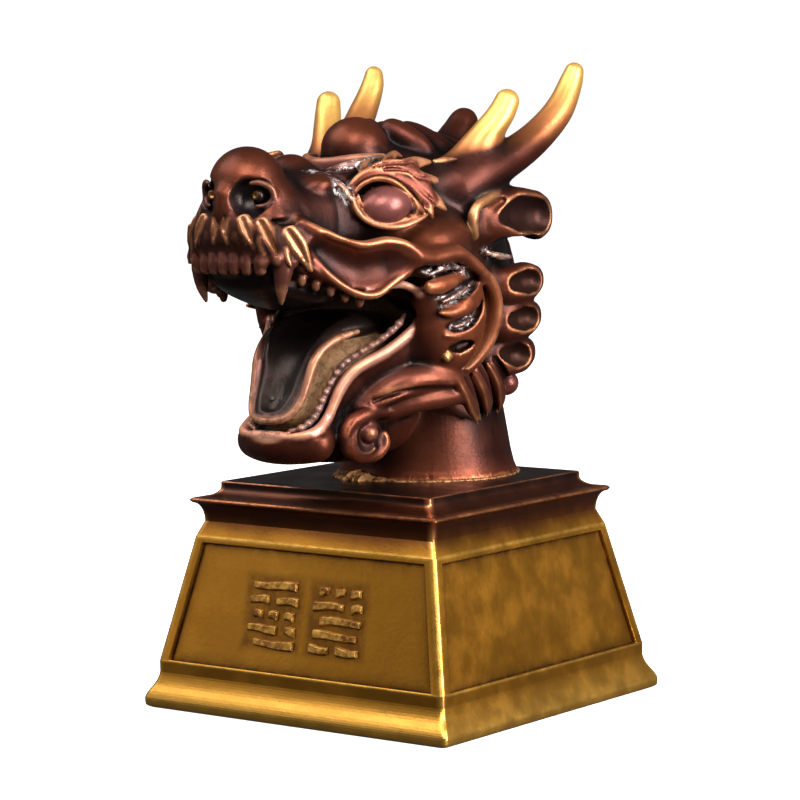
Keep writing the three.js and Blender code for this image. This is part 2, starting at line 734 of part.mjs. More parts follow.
// The carving is drawn at one size, and the whole head follows HEAD_HEIGHT
headMesh.geometry.computeBoundingBox();
const drawnHeight = headMesh.geometry.boundingBox.max.z - headMesh.geometry.boundingBox.min.z;
headMesh.scale.setScalar(HEAD_HEIGHT / drawnHeight);
headMesh.position.z = PLINTH_HEIGHT + SEAT_GAP;
part.add(headMesh);
const plinthMesh = new THREE.Mesh(geometryOf(plinth()), GILT);
plinthMesh.name = "plinth";
part.add(plinthMesh);

export default part;
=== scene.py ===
"""A Chinese zodiac dragon's head, cast in bronze colour, on a square moulded plinth in satin gold."""
import math
from functools import partial

import bmesh
import bpy
import numpy as np
import openvdb
from mathutils import Matrix, Vector


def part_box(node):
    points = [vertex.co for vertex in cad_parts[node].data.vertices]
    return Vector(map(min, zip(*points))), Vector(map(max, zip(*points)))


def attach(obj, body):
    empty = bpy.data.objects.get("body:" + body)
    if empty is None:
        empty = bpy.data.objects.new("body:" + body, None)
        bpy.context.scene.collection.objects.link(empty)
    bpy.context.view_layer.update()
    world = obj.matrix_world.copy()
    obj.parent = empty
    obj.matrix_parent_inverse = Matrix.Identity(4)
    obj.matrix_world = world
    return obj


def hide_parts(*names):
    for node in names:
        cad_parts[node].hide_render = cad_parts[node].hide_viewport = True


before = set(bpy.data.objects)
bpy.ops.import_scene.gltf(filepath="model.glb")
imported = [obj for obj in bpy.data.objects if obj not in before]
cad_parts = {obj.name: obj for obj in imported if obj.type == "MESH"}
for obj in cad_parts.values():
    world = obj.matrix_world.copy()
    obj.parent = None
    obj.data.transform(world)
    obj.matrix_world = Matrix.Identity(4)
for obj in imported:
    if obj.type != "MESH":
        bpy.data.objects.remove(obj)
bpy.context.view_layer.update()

# The plinth is one square casting: a rolled foot, a cove, four sloping sides with sunk panels, a
# second cove, a flange and a thin slab that the neck stands on. It is plated in satin gold, and
# sprayed dark maroon from the shoulder up, with the colour rubbed off its edges. The paler gold of the
# foot is a painted highlight, and the bright edges are partly painted highlight too.
MM = 0.001
_, plinth_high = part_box("plinth")
FOOT_HALF = plinth_high.x
PLINTH_TOP = plinth_high.z
BULGE_HEIGHT = 2.5 * MM
PANEL_FOOT, PANEL_FOOT_HALF = 12.5 * MM, 47.0 * MM
SHOULDER, SHOULDER_HALF = 45.7 * MM, 39.7 * MM
WAIST, WAIST_HALF = 49.8 * MM, 37.9 * MM
FLANGE, FLANGE_HALF = 55.7 * MM, 40.7 * MM
FLANGE_THICK, FLANGE_ROUND = 0.9 * MM, 0.4 * MM
SLAB_FOOT, SLAB_HALF = 58.9 * MM, 34.7 * MM
SLAB_ROUND = 0.3 * MM
LOWER_COVE_STEPS, UPPER_COVE_STEPS = 20, 16
CORNER_ROUND = 1.3 * MM
ARRIS_ROUND = 0.3 * MM
PANEL_SIDES, PANEL_TOP, PANEL_BASE = 2.8 * MM, 1.8 * MM, 1.2 * MM
PANEL_LIP, PANEL_LIP_DROP = 0.35 * MM, 0.12 * MM
PANEL_WALL, PANEL_SINK, PANEL_CROWN = 0.30 * MM, 0.95 * MM, 0.03 * MM
# the foot sweeps out from the panels' lower rail and rolls under: at each height in millimetres, the
# share of the way in from the foot's widest line to the rail
FOOT_SWEEP = ((0.0, 0.48), (0.45, 0.16), (0.75, 0.04), (1.3, 0.01), (2.2, 0.0), (2.8, 0.015), (3.3, 0.06),
              (3.9, 0.15), (4.6, 0.28), (5.3, 0.43), (6.0, 0.58), (6.7, 0.71), (7.4, 0.82), (8.1, 0.90),
              (8.8, 0.96), (9.5, 1.0))
# grime and painted shade lie in the panel's corners: the width of each band in millimetres, and how thick
# they lie there
# GRIME_AND_SHADE_BANDS = ((0.5, 0.62), (1.0, 0.34), (1.6, 0.14), (3.0, 0.0))
GRIME_AND_SHADE_BANDS = ((0.5, 0.62), (1.0, 0.34), (1.6, 0.14), (3.0, 0.0))


def quarter(start, end, steps, rising):
    """Levels of a quarter-round from one (half-width, height) to another"""
    levels = []
    for i in range(1, steps + 1):
        turn = i / steps * math.pi / 2
        rounding, straight = math.sin(turn), 1 - math.cos(turn)
        across, up = (straight, rounding) if rising else (rounding, straight)
        levels.append((start[0] + (end[0] - start[0]) * across, start[1] + (end[1] - start[1]) * up))
    return levels


def stepped_block(levels):
    """A square block with rounded corners, raised level by level from its underside"""
    block = bmesh.new()
    half, height = levels[0]
    bmesh.ops.create_grid(block, x_segments=1, y_segments=1, size=half,
                          matrix=Matrix.Translation((0, 0, height)))
    bmesh.ops.bevel(block, geom=block.verts[:], offset=CORNER_ROUND, offset_type="OFFSET", segments=5,
                    profile=0.5, affect="VERTICES", material=-1, clamp_overlap=True)
    top = next(iter(block.faces))
    for next_half, next_height in levels[1:]:
        grown = bmesh.ops.extrude_face_region(block, geom=[top])["geom"]
        top = next(g for g in grown if isinstance(g, bmesh.types.BMFace))
        share = next_half / half
        bmesh.ops.scale(block, verts=top.verts[:], vec=(share, share, 1))
        bmesh.ops.translate(block, verts=top.verts[:], vec=(0, 0, next_height - height))
        half, height = next_half, next_height
    bmesh.ops.recalc_face_normals(block, faces=block.faces[:])
    return block


def level_edge(edge):
    """Whether an edge lies level"""
    return abs(edge.verts[0].co.z - edge.verts[1].co.z) < MM / 1000


levels = [(FOOT_HALF + (PANEL_FOOT_HALF - FOOT_HALF) * share, height * MM) for height, share in FOOT_SWEEP]
levels += [(PANEL_FOOT_HALF, PANEL_FOOT), (SHOULDER_HALF, SHOULDER), (WAIST_HALF, WAIST)]
levels += quarter((WAIST_HALF, WAIST), (FLANGE_HALF - 0.5 * MM, FLANGE - FLANGE_THICK), LOWER_COVE_STEPS,
                  rising=True)
levels += [(FLANGE_HALF, FLANGE - FLANGE_ROUND), (FLANGE_HALF, FLANGE),
           (FLANGE_HALF - FLANGE_ROUND, FLANGE + 0.35 * MM)]
levels += quarter(levels[-1], (SLAB_HALF, SLAB_FOOT), UPPER_COVE_STEPS, rising=False)
levels += [(SLAB_HALF, PLINTH_TOP - SLAB_ROUND), (SLAB_HALF - SLAB_ROUND, PLINTH_TOP)]
block = stepped_block(levels)

# each side's panel is drawn inside the sloping face, then sunk with a small lip round it
lean = math.atan2(PANEL_FOOT_HALF - SHOULDER_HALF, SHOULDER - PANEL_FOOT)
grime_and_shade = block.verts.layers.float.new("grime_and_shade")
side_middle, half_side_area = (PANEL_FOOT + SHOULDER) / 2, SHOULDER_HALF * (SHOULDER - PANEL_FOOT)
sides = [face for face in block.faces if abs(face.calc_center_median().z - side_middle) < MM
         and face.calc_area() > half_side_area]
for side in sides:
    out = side.normal.copy()
    up_slope = (Vector((0, 0, 1)) - out * out.z).normalized()
    bmesh.ops.inset_individual(block, faces=[side], thickness=PANEL_SIDES, depth=0)
    middle = side.calc_center_median()
    for v in side.verts:
        top_edge = (v.co - middle).dot(up_slope) > 0
        v.co += up_slope * (PANEL_SIDES - PANEL_TOP if top_edge else PANEL_BASE - PANEL_SIDES)
    bmesh.ops.inset_individual(block, faces=[side], thickness=PANEL_LIP, depth=-PANEL_LIP_DROP)
    bmesh.ops.inset_individual(block, faces=[side], thickness=PANEL_WALL, depth=-PANEL_SINK)
    # the sunk face and the bands inside it hold grime and painted shade, thickest in the panel's corners
    for v in side.verts:
        v[grime_and_shade] = 1.0
    for width, grime_and_shade_share in GRIME_AND_SHADE_BANDS:
        bmesh.ops.inset_individual(block, faces=[side], thickness=width * MM, depth=PANEL_CROWN)
        for v in side.verts:
            v[grime_and_shade] = grime_and_shade_share

# sharp edges are rounded as they are on the polished casting
block.normal_update()
sharp = [edge for edge in block.edges if len(edge.link_faces) == 2 and level_edge(edge)
         and min(abs(v.co.z - height) for height in (PANEL_FOOT, SHOULDER, WAIST, SLAB_FOOT)
                 for v in edge.verts) < MM / 100]
bmesh.ops.bevel(block, geom=sharp, offset=ARRIS_ROUND, offset_type="OFFSET", segments=3, profile=0.5,
                affect="EDGES", material=-1, clamp_overlap=True)


def finished_piece(name, mesh, finish, smooth_angle=None):
    """A mesh as a piece that stands at the origin, in its finish"""
    made = bpy.data.meshes.new(name)
    mesh.to_mesh(made)
    mesh.free()
    piece = bpy.data.objects.new(name, made)
    bpy.context.scene.collection.objects.link(piece)
    made.materials.append(finish)
    made.shade_smooth()
    if smooth_angle:
        made.set_sharp_from_angle(angle=math.radians(smooth_angle))
        piece.modifiers.new("even shading", "WEIGHTED_NORMAL").keep_sharp = True
    return piece


class Finish:
    """A material whose nodes are put down one after another"""

    def __init__(self, name):
        self.material = bpy.data.materials.new(name)
        self.material.use_nodes = True
        self.tree = self.material.node_tree
        self.tree.nodes.clear()
        self.surface = self.tree.nodes.new("ShaderNodeBsdfPrincipled")
        out = self.tree.nodes.new("ShaderNodeOutputMaterial")
        self.tree.links.new(self.surface.outputs["BSDF"], out.inputs["Surface"])
        self.place = self.tree.nodes.new("ShaderNodeTexCoord").outputs["Object"]

    def feed(self, socket, value):
        """Wire a socket to another, or set it"""
        if isinstance(value, bpy.types.NodeSocket):
            self.tree.links.new(value, socket)
        else:
            socket.default_value = value

    def put(self, kind, output, inputs, **settings):
        """Put down a node, set it and feed it, and give one of its outputs"""
        node = self.tree.nodes.new("ShaderNode" + kind)
        for key, value in settings.items():
            setattr(node, key, value)
        for key, value in inputs.items():
            self.feed(node.inputs[key], value)
        return node.outputs[output]

    def plus(self, a, b):
        return self.put("Math", 0, {0: a, 1: b}, operation="ADD")

    def less(self, a, b):
        return self.put("Math", 0, {0: a, 1: b}, operation="SUBTRACT")

    def times(self, a, b):
        return self.put("Math", 0, {0: a, 1: b}, operation="MULTIPLY")

    def larger(self, a, b):
        return self.put("Math", 0, {0: a, 1: b}, operation="MAXIMUM")

    def size(self, a):
        return self.put("Math", 0, {0: a}, operation="ABSOLUTE")

    def ramp(self, value, low, high, start=0.0, end=1.0):
        """Start up to the low value, end from the high one, and a soft step between them"""
        inputs = {"Value": value, "From Min": low, "From Max": high, "To Min": start, "To Max": end}
        return self.put("MapRange", "Result", inputs, interpolation_type="SMOOTHSTEP")

    def mix(self, share, a, b):
        a, b = ((*v, 1.0) if isinstance(v, tuple) else v for v in (a, b))
        return self.put("Mix", 2, {0: share, 6: a, 7: b}, data_type="RGBA")

    def noise(self, scale, detail=3.0, rough=0.55):
        inputs = {"Vector": self.place, "Scale": scale, "Detail": detail, "Roughness": rough}
        return self.put("TexNoise", "Fac", inputs)

    def painted(self, name, output="Fac"):
        """The values that the mesh holds under a name"""
        return self.put("Attribute", output, {}, attribute_name=name)

    def bump(self, height, distance, strength):
        return self.put("Bump", "Normal", {"Height": height, "Distance": distance, "Strength": strength})

    def wire(self, **inputs):
        """Feed the surface itself, by the names of its sockets"""
        for key, value in inputs.items():
            self.feed(self.surface.inputs[key.replace("_", " ")], value)


# satin gold: yellow brass colour, paler round the foot as a painted highlight, with maroon above the
# shoulder
deep_gold, warm_gold, pale_gold_highlight = (0.345, 0.143, 0.013), (0.39, 0.167, 0.017), (0.53, 0.268, 0.044)
brown, maroon, black_brown = (0.13, 0.042, 0.009), (0.10, 0.028, 0.012), (0.034, 0.017, 0.014)
worn_gold_and_highlight, worn_copper_and_highlight = (0.66, 0.36, 0.07), (0.55, 0.20, 0.085)
stroke_shade, panel_grime_and_shade = (0.09, 0.032, 0.008), (0.045, 0.016, 0.006)
gold = Finish("satin gold and maroon plating")
x, y, z = (gold.put("SeparateXYZ", i, {0: gold.place}) for i in range(3))
from_middle_x, from_middle_y = gold.size(x), gold.size(y)
cloud = gold.noise(26.0, 4.0)
fine = gold.noise(900.0, 3.0, 0.6)
speck = gold.noise(260.0, 5.0, 0.7)
height = gold.plus(z, gold.ramp(cloud, 0.3, 0.7, -0.9 * MM, 0.9 * MM))
body = gold.mix(gold.ramp(cloud, 0.35, 0.68), warm_gold, deep_gold)
# the foot is painted paler gold: a painted highlight where it catches the light
body = gold.mix(gold.ramp(z, 11 * MM, 3 * MM), body, pale_gold_highlight)
body = gold.mix(gold.ramp(height, SHOULDER - 0.5 * MM, WAIST), body, brown)
body = gold.mix(gold.ramp(height, WAIST - 1 * MM, WAIST + 3 * MM), body, maroon)
body = gold.mix(gold.ramp(height, FLANGE, PLINTH_TOP), body, black_brown)

# it is worn through along the level arrises and down the four corners, but not on the slab's top; the pale
# worn colour there is also a painted highlight
worn_and_highlight = gold.ramp(gold.size(gold.less(from_middle_x, from_middle_y)), 2.2 * MM, 0.3 * MM)
for level, reach in ((BULGE_HEIGHT, 0.9), (PANEL_FOOT, 0.6), (SHOULDER, 0.8), (FLANGE, 0.7),
                     (PLINTH_TOP, 0.35)):
    worn_and_highlight = gold.larger(worn_and_highlight, gold.ramp(gold.size(gold.less(z, level)), reach * MM, 0.0))
off_top = gold.ramp(gold.less(SLAB_HALF, gold.larger(from_middle_x, from_middle_y)), 1.0 * MM, 0.3 * MM)
worn_and_highlight = gold.times(gold.times(worn_and_highlight, off_top), gold.ramp(speck, 0.32, 0.62, 0.35, 1.0))
body = gold.mix(worn_and_highlight, body, gold.mix(gold.ramp(z, SHOULDER, FLANGE - 2 * MM), worn_gold_and_highlight, worn_copper_and_highlight))

# painted shade darkens the gold round and between the raised strokes; the panels' corners are darkened by
# grime and painted shade
STROKES_HEIGHT = 28 * MM
strokes_gap = gold.larger(gold.size(gold.less(from_middle_x, 10.5 * MM)),
                          gold.size(gold.less(z, STROKES_HEIGHT)))
on_front = gold.ramp(y, -38 * MM, -40 * MM)
between_strokes = gold.times(gold.ramp(strokes_gap, 11 * MM, 8 * MM), on_front)
body = gold.mix(gold.times(between_strokes, gold.ramp(speck, 0.35, 0.6, 0.35, 0.7)), body, stroke_shade)
# grime and painted shade in the panels' corners
in_corners = gold.times(gold.painted("grime_and_shade"), gold.ramp(speck, 0.25, 0.6, 0.55, 1.0))
body = gold.mix(in_corners, body, panel_grime_and_shade)
gold.wire(Base_Color=body, Metallic=0.92, Specular_IOR_Level=0.4,
          Roughness=gold.ramp(gold.noise(120.0, 4.0), 0.3, 0.75, 0.30, 0.44),
          Normal=gold.bump(gold.plus(fine, gold.times(speck, 2.0)), 0.06 * MM, 0.55))

plinth = finished_piece("plinth_casting", block, gold.material, smooth_angle=40)
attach(plinth, "root")
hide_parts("plinth")

# The front panel carries two blocks of raised strokes, cast with the plinth: short chiselled bars
# in rows, with rough gold tops that the hand has polished.
STROKE_RELIEF, STROKE_ROOT, STROKE_WIDTH = 0.8 * MM, 0.3 * MM, 2.3 * MM
BLOCK_WIDTH, BLOCK_HEIGHT, BLOCK_GAP = 16 * MM, 19 * MM, 5 * MM
PANEL_FACE_DEPTH = 0.85 * MM
# where the strokes of each row start and end across their block, as shares of its width
STROKE_SHARES = (((0.05, 0.95),), ((0.0, 0.4), (0.55, 1.0)), ((0.1, 0.3), (0.42, 0.62), (0.74, 0.95)),
                 ((0.0, 0.62), (0.78, 1.0)), ((0.16, 1.0),))
ROWS = len(STROKE_SHARES)
dice = np.random.default_rng(8)
strokes = bmesh.new()
to_panel = Matrix.Translation((0, -PANEL_FOOT_HALF, PANEL_FOOT))
to_panel = to_panel @ Matrix.Rotation(math.pi / 2 - lean, 4, "X")


def chiselled_bar(length, row, block_side):
    """The corners of a bar with a narrower top, bent and roughened as a chisel leaves it"""
    bar = bmesh.ops.create_cube(strokes, size=1.0)["verts"]
    bmesh.ops.scale(strokes, verts=bar, vec=(length, STROKE_WIDTH, STROKE_RELIEF + STROKE_ROOT))
    faces = {face for v in bar for face in v.link_faces}
    top = max(faces, key=lambda face: face.calc_center_median().z)
    bmesh.ops.scale(strokes, verts=top.verts[:], vec=(1 - 0.7 * MM / length, 0.66, 1))
    long_edges = [edge for edge in {edge for face in faces for edge in face.edges}
                  if edge.calc_length() > STROKE_WIDTH * 0.9 and level_edge(edge)]
    bmesh.ops.subdivide_edges(strokes, edges=long_edges, cuts=5, use_grid_fill=True)
    bar = [v for v in strokes.verts if not v.tag]
    for v in bar:
        v.tag = True
        share = v.co.x / length
        v.co.y += 0.22 * MM * math.sin(share * 5 + row) + dice.uniform(-0.05, 0.05) * MM
        v.co.y *= 1.12 - 0.35 * share * block_side
        if v.co.z > 0:
            v.co.z += dice.uniform(-0.06, 0.02) * MM
    return bar


for block_side in (-1, 1):
    left = block_side * (BLOCK_WIDTH + BLOCK_GAP) / 2 - BLOCK_WIDTH / 2
    for row in range(ROWS):
        rise = STROKES_HEIGHT - PANEL_FOOT + BLOCK_HEIGHT / 2 - (row + 0.5) * BLOCK_HEIGHT / ROWS
        for start, end in STROKE_SHARES[(row + (2 if block_side > 0 else 0)) % ROWS]:
            bar = chiselled_bar((end - start) * BLOCK_WIDTH, row, block_side)
            place = Matrix.Translation((left + (start + end) / 2 * BLOCK_WIDTH, rise,
                                        (STROKE_RELIEF + STROKE_ROOT) / 2 - PANEL_FACE_DEPTH - STROKE_ROOT))
            bmesh.ops.transform(strokes, verts=bar, matrix=to_panel @ place)
arris = [edge for edge in strokes.edges if edge.calc_face_angle(0) > 0.6]
bmesh.ops.bevel(strokes, geom=arris, offset=0.16 * MM, offset_type="OFFSET", segments=2, profile=0.5,
                affect="EDGES", material=-1, clamp_overlap=True)

rough_gold = Finish("rough gold strokes")
grain = rough_gold.noise(420.0, 5.0, 0.7)
pits = rough_gold.put("TexVoronoi", "Distance", {"Vector": rough_gold.place, "Scale": 900.0})
tone = rough_gold.mix(rough_gold.ramp(grain, 0.35, 0.65), (0.16, 0.055, 0.01), (0.52, 0.27, 0.05))
rough_gold.wire(Base_Color=tone, Metallic=0.75, Roughness=0.36, Specular_IOR_Level=0.4,
                Normal=rough_gold.bump(rough_gold.plus(grain, pits), 0.12 * MM, 0.7))
stroke_rows = finished_piece("stroke_rows", strokes, rough_gold.material, smooth_angle=50)
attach(stroke_rows, "root")
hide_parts("plinth")

# The dragon's head and neck are one hollow casting, modelled by hand in clay before it was cast, then
# lacquered dark, brushed with gold, ochre and rose in its hollows, and rubbed bright on its edges.
head_low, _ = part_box("dragon_head")
# It is modelled the same way here. A block of cells holds how far each cell lies outside the clay
# (under 0 inside), and lumps are added, melted together, and pressed in, over the dragon's left half
# alone. Clay lengths are millimetres: x to the dragon's left, y to its back, z up from the neck's foot
CELL = 0.42
CLAY_LOW, CLAY_HIGH = np.array([-1.5 * CELL, -78.0, -2.0]), np.array([40.0, 39.0, 112.5])
FAR = 12.0
cells = np.ceil((CLAY_HIGH - CLAY_LOW) / CELL).astype(int) + 1
rulers = [(CLAY_LOW[k] + CELL * np.arange(cells[k])).astype(np.float32) for k in range(3)]
clay = np.full(cells, FAR, np.float32)


def window(low, high):
    """The cells between two corners, and the places of them along x, y and z"""
    first = np.clip(np.floor((np.asarray(low) - CLAY_LOW) / CELL).astype(int), 0, cells)
    last = np.clip(np.ceil((np.asarray(high) - CLAY_LOW) / CELL).astype(int) + 1, 0, cells)
    cut = tuple(slice(a, b) for a, b in zip(first, last))
    x, y, z = (rulers[k][cut[k]] for k in range(3))
    return cut, (x[:, None, None], y[None, :, None], z[None, None, :])


def oval(side, rise, run, wide, thick, deep, power=2.0):
    """How far a place lies outside an oval of these half-sizes, boxier across for a higher power"""
    if power == 2.0:
        near = np.sqrt((side / wide) ** 2 + (rise / thick) ** 2 + (run / deep) ** 2)
    else:
        flat = np.abs(side / wide) ** power + np.abs(rise / thick) ** power
        near = np.sqrt(flat ** (2 / power) + (run / deep) ** 2)
    steep = np.sqrt((side / wide ** 2) ** 2 + (rise / thick ** 2) ** 2 + (run / deep ** 2) ** 2)
    return near * (near - 1) / np.maximum(steep, 1e-6)


def turned(degrees):
    """The axes of a thing turned about x, y and z"""
    axes = np.eye(3)
    for k, angle in enumerate(np.radians(degrees)):
        turn = np.eye(3)
        i, j = (k + 1) % 3, (k + 2) % 3
        cos, sin = math.cos(angle), math.sin(angle)
        turn[i, i], turn[i, j], turn[j, i], turn[j, j] = cos, -sin, sin, cos
        axes = axes @ turn
    return axes


def egg(centre, halves, turn=(0, 0, 0)):
    """An oval lump: its centre, half-sizes and turn in degrees about x, y and z"""
    centre, halves = np.array(centre, float), np.array(halves, float)
    axes = turned(turn)

    def outside(x, y, z):
        dx, dy, dz = x - centre[0], y - centre[1], z - centre[2]
        return oval(*(dx * axes[0, k] + dy * axes[1, k] + dz * axes[2, k] for k in range(3)), *halves)

    reach = np.sqrt((axes ** 2) @ (halves ** 2))
    return [(centre - reach, centre + reach, outside)]


def sized(points, halves):
    """Rows for a roll of clay, from its points and its half-sizes at them"""
    return [(*point, *np.atleast_1d(half)) for point, half in zip(points, halves)]


def smooth_route(rows, steps):
    """A smooth line through the points of some rows, and the half-width and half-thickness along it"""
    p = np.array([row[:3] for row in rows], float)
    h = np.array([(row[3], row[-1]) for row in rows], float)
    p = np.vstack([2 * p[0] - p[1], p, 2 * p[-1] - p[-2]])
    line, sizes = [], []
    for i in range(1, len(p) - 2):
        a, b, c, d = p[i - 1:i + 3]
        s, t, u = (max(np.linalg.norm(v), 1e-4) ** 0.5 for v in (b - a, c - b, d - c))
        leave = ((b - a) / s - (c - a) / (s + t) + (c - b) / t) * t
        reach = ((c - b) / t - (d - b) / (t + u) + (d - c) / u) * t
        for w in np.arange(steps) / steps:
            line.append(b * (2 * w ** 3 - 3 * w ** 2 + 1) + c * (3 * w ** 2 - 2 * w ** 3)
                        + leave * (w ** 3 - 2 * w ** 2 + w) + reach * (w ** 3 - w ** 2))
            sizes.append(h[i - 1] * (1 - w) + h[i] * w)
    return np.array(line + [p[-2]]), np.array(sizes + [h[-1]])


def drawn_in(line, sizes):
    """The line shortened at both ends by half its thickness, so that its rounded ends stop at its points"""
    for _ in range(2):
        line, sizes = line[::-1].copy(), sizes[::-1].copy()
        left = sizes[0].min()
        while len(line) > 2 and np.linalg.norm(line[1] - line[0]) <= left:
            left -= np.linalg.norm(line[1] - line[0])
            line, sizes = line[1:], sizes[1:]
        share = min(left / np.linalg.norm(line[1] - line[0]), 0.9)
        line[0] += (line[1] - line[0]) * share
        sizes[0] += (sizes[1] - sizes[0]) * share / 2
    return line, sizes


def link(a, b, ha, hb, up, power, x, y, z):
    """How far a place lies outside one straight stretch of a roll of clay"""
    along = b - a
    length = np.linalg.norm(along)
    along = along / length
    dx, dy, dz = x - a[0], y - a[1], z - a[2]
    run = dx * along[0] + dy * along[1] + dz * along[2]
    share = np.clip(run / length, 0, 1)
    if ha[0] == ha[1] and hb[0] == hb[1] and power == 2.0:
        ox, oy, oz = (d - share * length * along[k] for k, d in enumerate((dx, dy, dz)))
        return np.sqrt(ox * ox + oy * oy + oz * oz) - (ha[0] + (hb[0] - ha[0]) * share)
    across = np.cross(up, along)
    across /= np.linalg.norm(across)
    over = np.cross(along, across)
    side = dx * across[0] + dy * across[1] + dz * across[2]
    rise = dx * over[0] + dy * over[1] + dz * over[2]
    wide = ha[0] + (hb[0] - ha[0]) * share
    thick = ha[1] + (hb[1] - ha[1]) * share
    return oval(side, rise, run - share * length, wide, thick, np.minimum(wide, thick), power)


def roll(rows, up=(0, 0, 1), square=1.0, steps=5, tip=None):
    """A roll of clay along a smooth line, round or flattened, boxier for a square under 1.

    A row is a point, and the roll's half-thickness there, or its half-width and half-thickness.
    A tip is a half-size that the roll's very end is pinched to
    """
    line, sizes = smooth_route(rows, steps)
    if tip:
        sizes[-1] = tip
    line, sizes = drawn_in(line, sizes)
    pieces = []
    for a, b, ha, hb in zip(line[:-1], line[1:], sizes[:-1], sizes[1:]):
        reach = max(ha.max(), hb.max())
        pieces.append((np.minimum(a, b) - reach, np.maximum(a, b) + reach,
                       partial(link, a, b, ha, hb, np.array(up, float), 2.0 / square)))
    return pieces


def gather(shape, reach):
    """The cells that a shape touches, and how far they lie outside it"""
    lowest = np.min([low for low, high, outside in shape], axis=0)
    highest = np.max([high for low, high, outside in shape], axis=0)
    cut, _ = window(lowest - reach, highest + reach)
    gap = np.full(clay[cut].shape, FAR, np.float32)
    for low, high, outside in shape:
        part, place = window(low - reach, high + reach)
        inner = tuple(slice(p.start - c.start, p.stop - c.start) for p, c in zip(part, cut))
        if gap[inner].size:
            gap[inner] = np.minimum(gap[inner], outside(*place))
    return cut, gap


def melt(a, b, blend):
    """The nearer of two distances, with the crease between the shapes filled over that width"""
    return np.minimum(a, b) - np.maximum(blend - np.abs(a - b), 0) ** 2 / (4 * blend)


painted_shapes = {}


def add(shape, blend=1.5, paint=None):
    """Melt a lump on to the clay, and note it where a colour is brushed on it later"""
    cut, gap = gather(shape, blend + 3)
    clay[cut] = melt(clay[cut], gap, blend)
    if paint:
        painted_shapes.setdefault(paint, []).extend(shape)


def press(shape, blend=1.0, paint=None):
    """Press a hollow into the clay, with its edge rounded over a width"""
    cut, gap = gather(shape, blend + 3)
    clay[cut] = -melt(-clay[cut], gap, blend)
    if paint:
        painted_shapes.setdefault(paint, []).extend(shape)


def masses():
    """Skull, muzzle, cheeks and neck"""
    add(egg([0, -7, 63], [28.6, 35, 25.5]), 4)
    add(egg([0, 6, 46], [28, 25.5, 33]), 6)
    add(roll([(0, -26, 68, 24, 16.5), (0, -48, 69.5, 17, 13.6), (0, -72.2, 67.6, 13.6, 8.4)], square=0.85,
             steps=3), 6)
    add(egg([12.4, -9.5, 45], [18, 18.6, 20]), 5)
    add(egg([23.6, -11.5, 44.5], [7.8, 14.6, 15.5], [0, 0, -10]), 4)
    add(egg([25.8, -19, 64], [6.6, 11.5, 5.8], [12, 0, -6]), 4)
    add(egg([14.5, -31, 74.5], [10, 13.5, 9.5], [0, 0, -12]), 5)
    add(roll([(0, -68, 60.5, 12, 4), (0, -50, 57.5, 18.5, 6), (0, -28, 54, 25, 7)], square=0.7, steps=3), 3)
    add(roll([(12, -66, 66, 3, 4), (17.3, -57, 62, 3.5, 5.5), (21.5, -50, 58.5, 4, 6.5),
              (25, -42, 59, 4, 6), (28, -33, 60, 4, 4.5), (29.2, -24, 58, 3, 3.5)], steps=3), 3)
    cut, (x, y, z) = window((CLAY_LOW[0], -20, -2), (40, 40, 40))
    neck_half = np.interp(z.ravel(), [0, 2.4, 6, 20, 34], [24.5, 23.6, 23.0, 21.6, 21.0]).astype(np.float32)
    neck = np.maximum(np.hypot(x, y - 12 + 0.12 * z) - neck_half, z - 36).astype(np.float32)
    clay[cut] = melt(clay[cut], neck, 2.0)


def lower_jaw():
    """The jaw's ramp up into the throat, its underside, and the roll of the chin"""
    add(roll([(0, -53.4, 14, 10.8, 4.5), (0, -44.2, 23.4, 12, 6.6), (0, -35.8, 30.6, 16.6, 8),
              (0, -27.4, 36.4, 22.8, 9.6), (0, -10, 42, 26.2, 12.6)], square=0.8, steps=6), 4)
    add(roll([(0, -54.4, 13.4, 10.2, 4.6), (0, -42, 15.6, 12.4, 8), (0, -28, 17.4, 16.4, 11),
              (0, -6, 22, 22, 14)]), 4)
    add(roll([(-14, -47.4, 13.6, 4.4, 4.6), (0, -53.4, 13.6, 4.8, 4.9), (14, -47.4, 13.6, 4.4, 4.6)],
             steps=3), 3)


GAPE = [(-95, 60.5), (-66, 58), (-54, 54.5), (-43, 51.5), (-34, 50.8), (-25.6, 49.4), (-22.4, 46.4),
        (-23.2, 42.6), (-27.6, 38.2), (-33.6, 35.0), (-38.8, 32.2), (-42.4, 28), (-45.6, 20), (-50.4, 16.4),
        (-56, 15.2), (-95, 13)]


def outline_gap(outline, u, v):
    """How far a place in a flat view lies outside a closed outline, under 0 inside"""
    corners = np.array(outline, float)
    gap = np.full(np.broadcast(u, v).shape, 1e9)
    inside = np.zeros(gap.shape, bool)
    for a, b in zip(corners, np.roll(corners, -1, axis=0)):
        side = b - a
        share = np.clip(((u - a[0]) * side[0] + (v - a[1]) * side[1]) / (side @ side), 0, 1)
        gap = np.minimum(gap, (u - a[0] - side[0] * share) ** 2 + (v - a[1] - side[1] * share) ** 2)
        crossing = a[0] + (b[0] - a[0]) * (v - a[1]) / (b[1] - a[1] + 1e-12)
        inside ^= ((a[1] > v) != (b[1] > v)) & (u < crossing)
    return np.where(inside, -1, 1) * np.sqrt(gap)


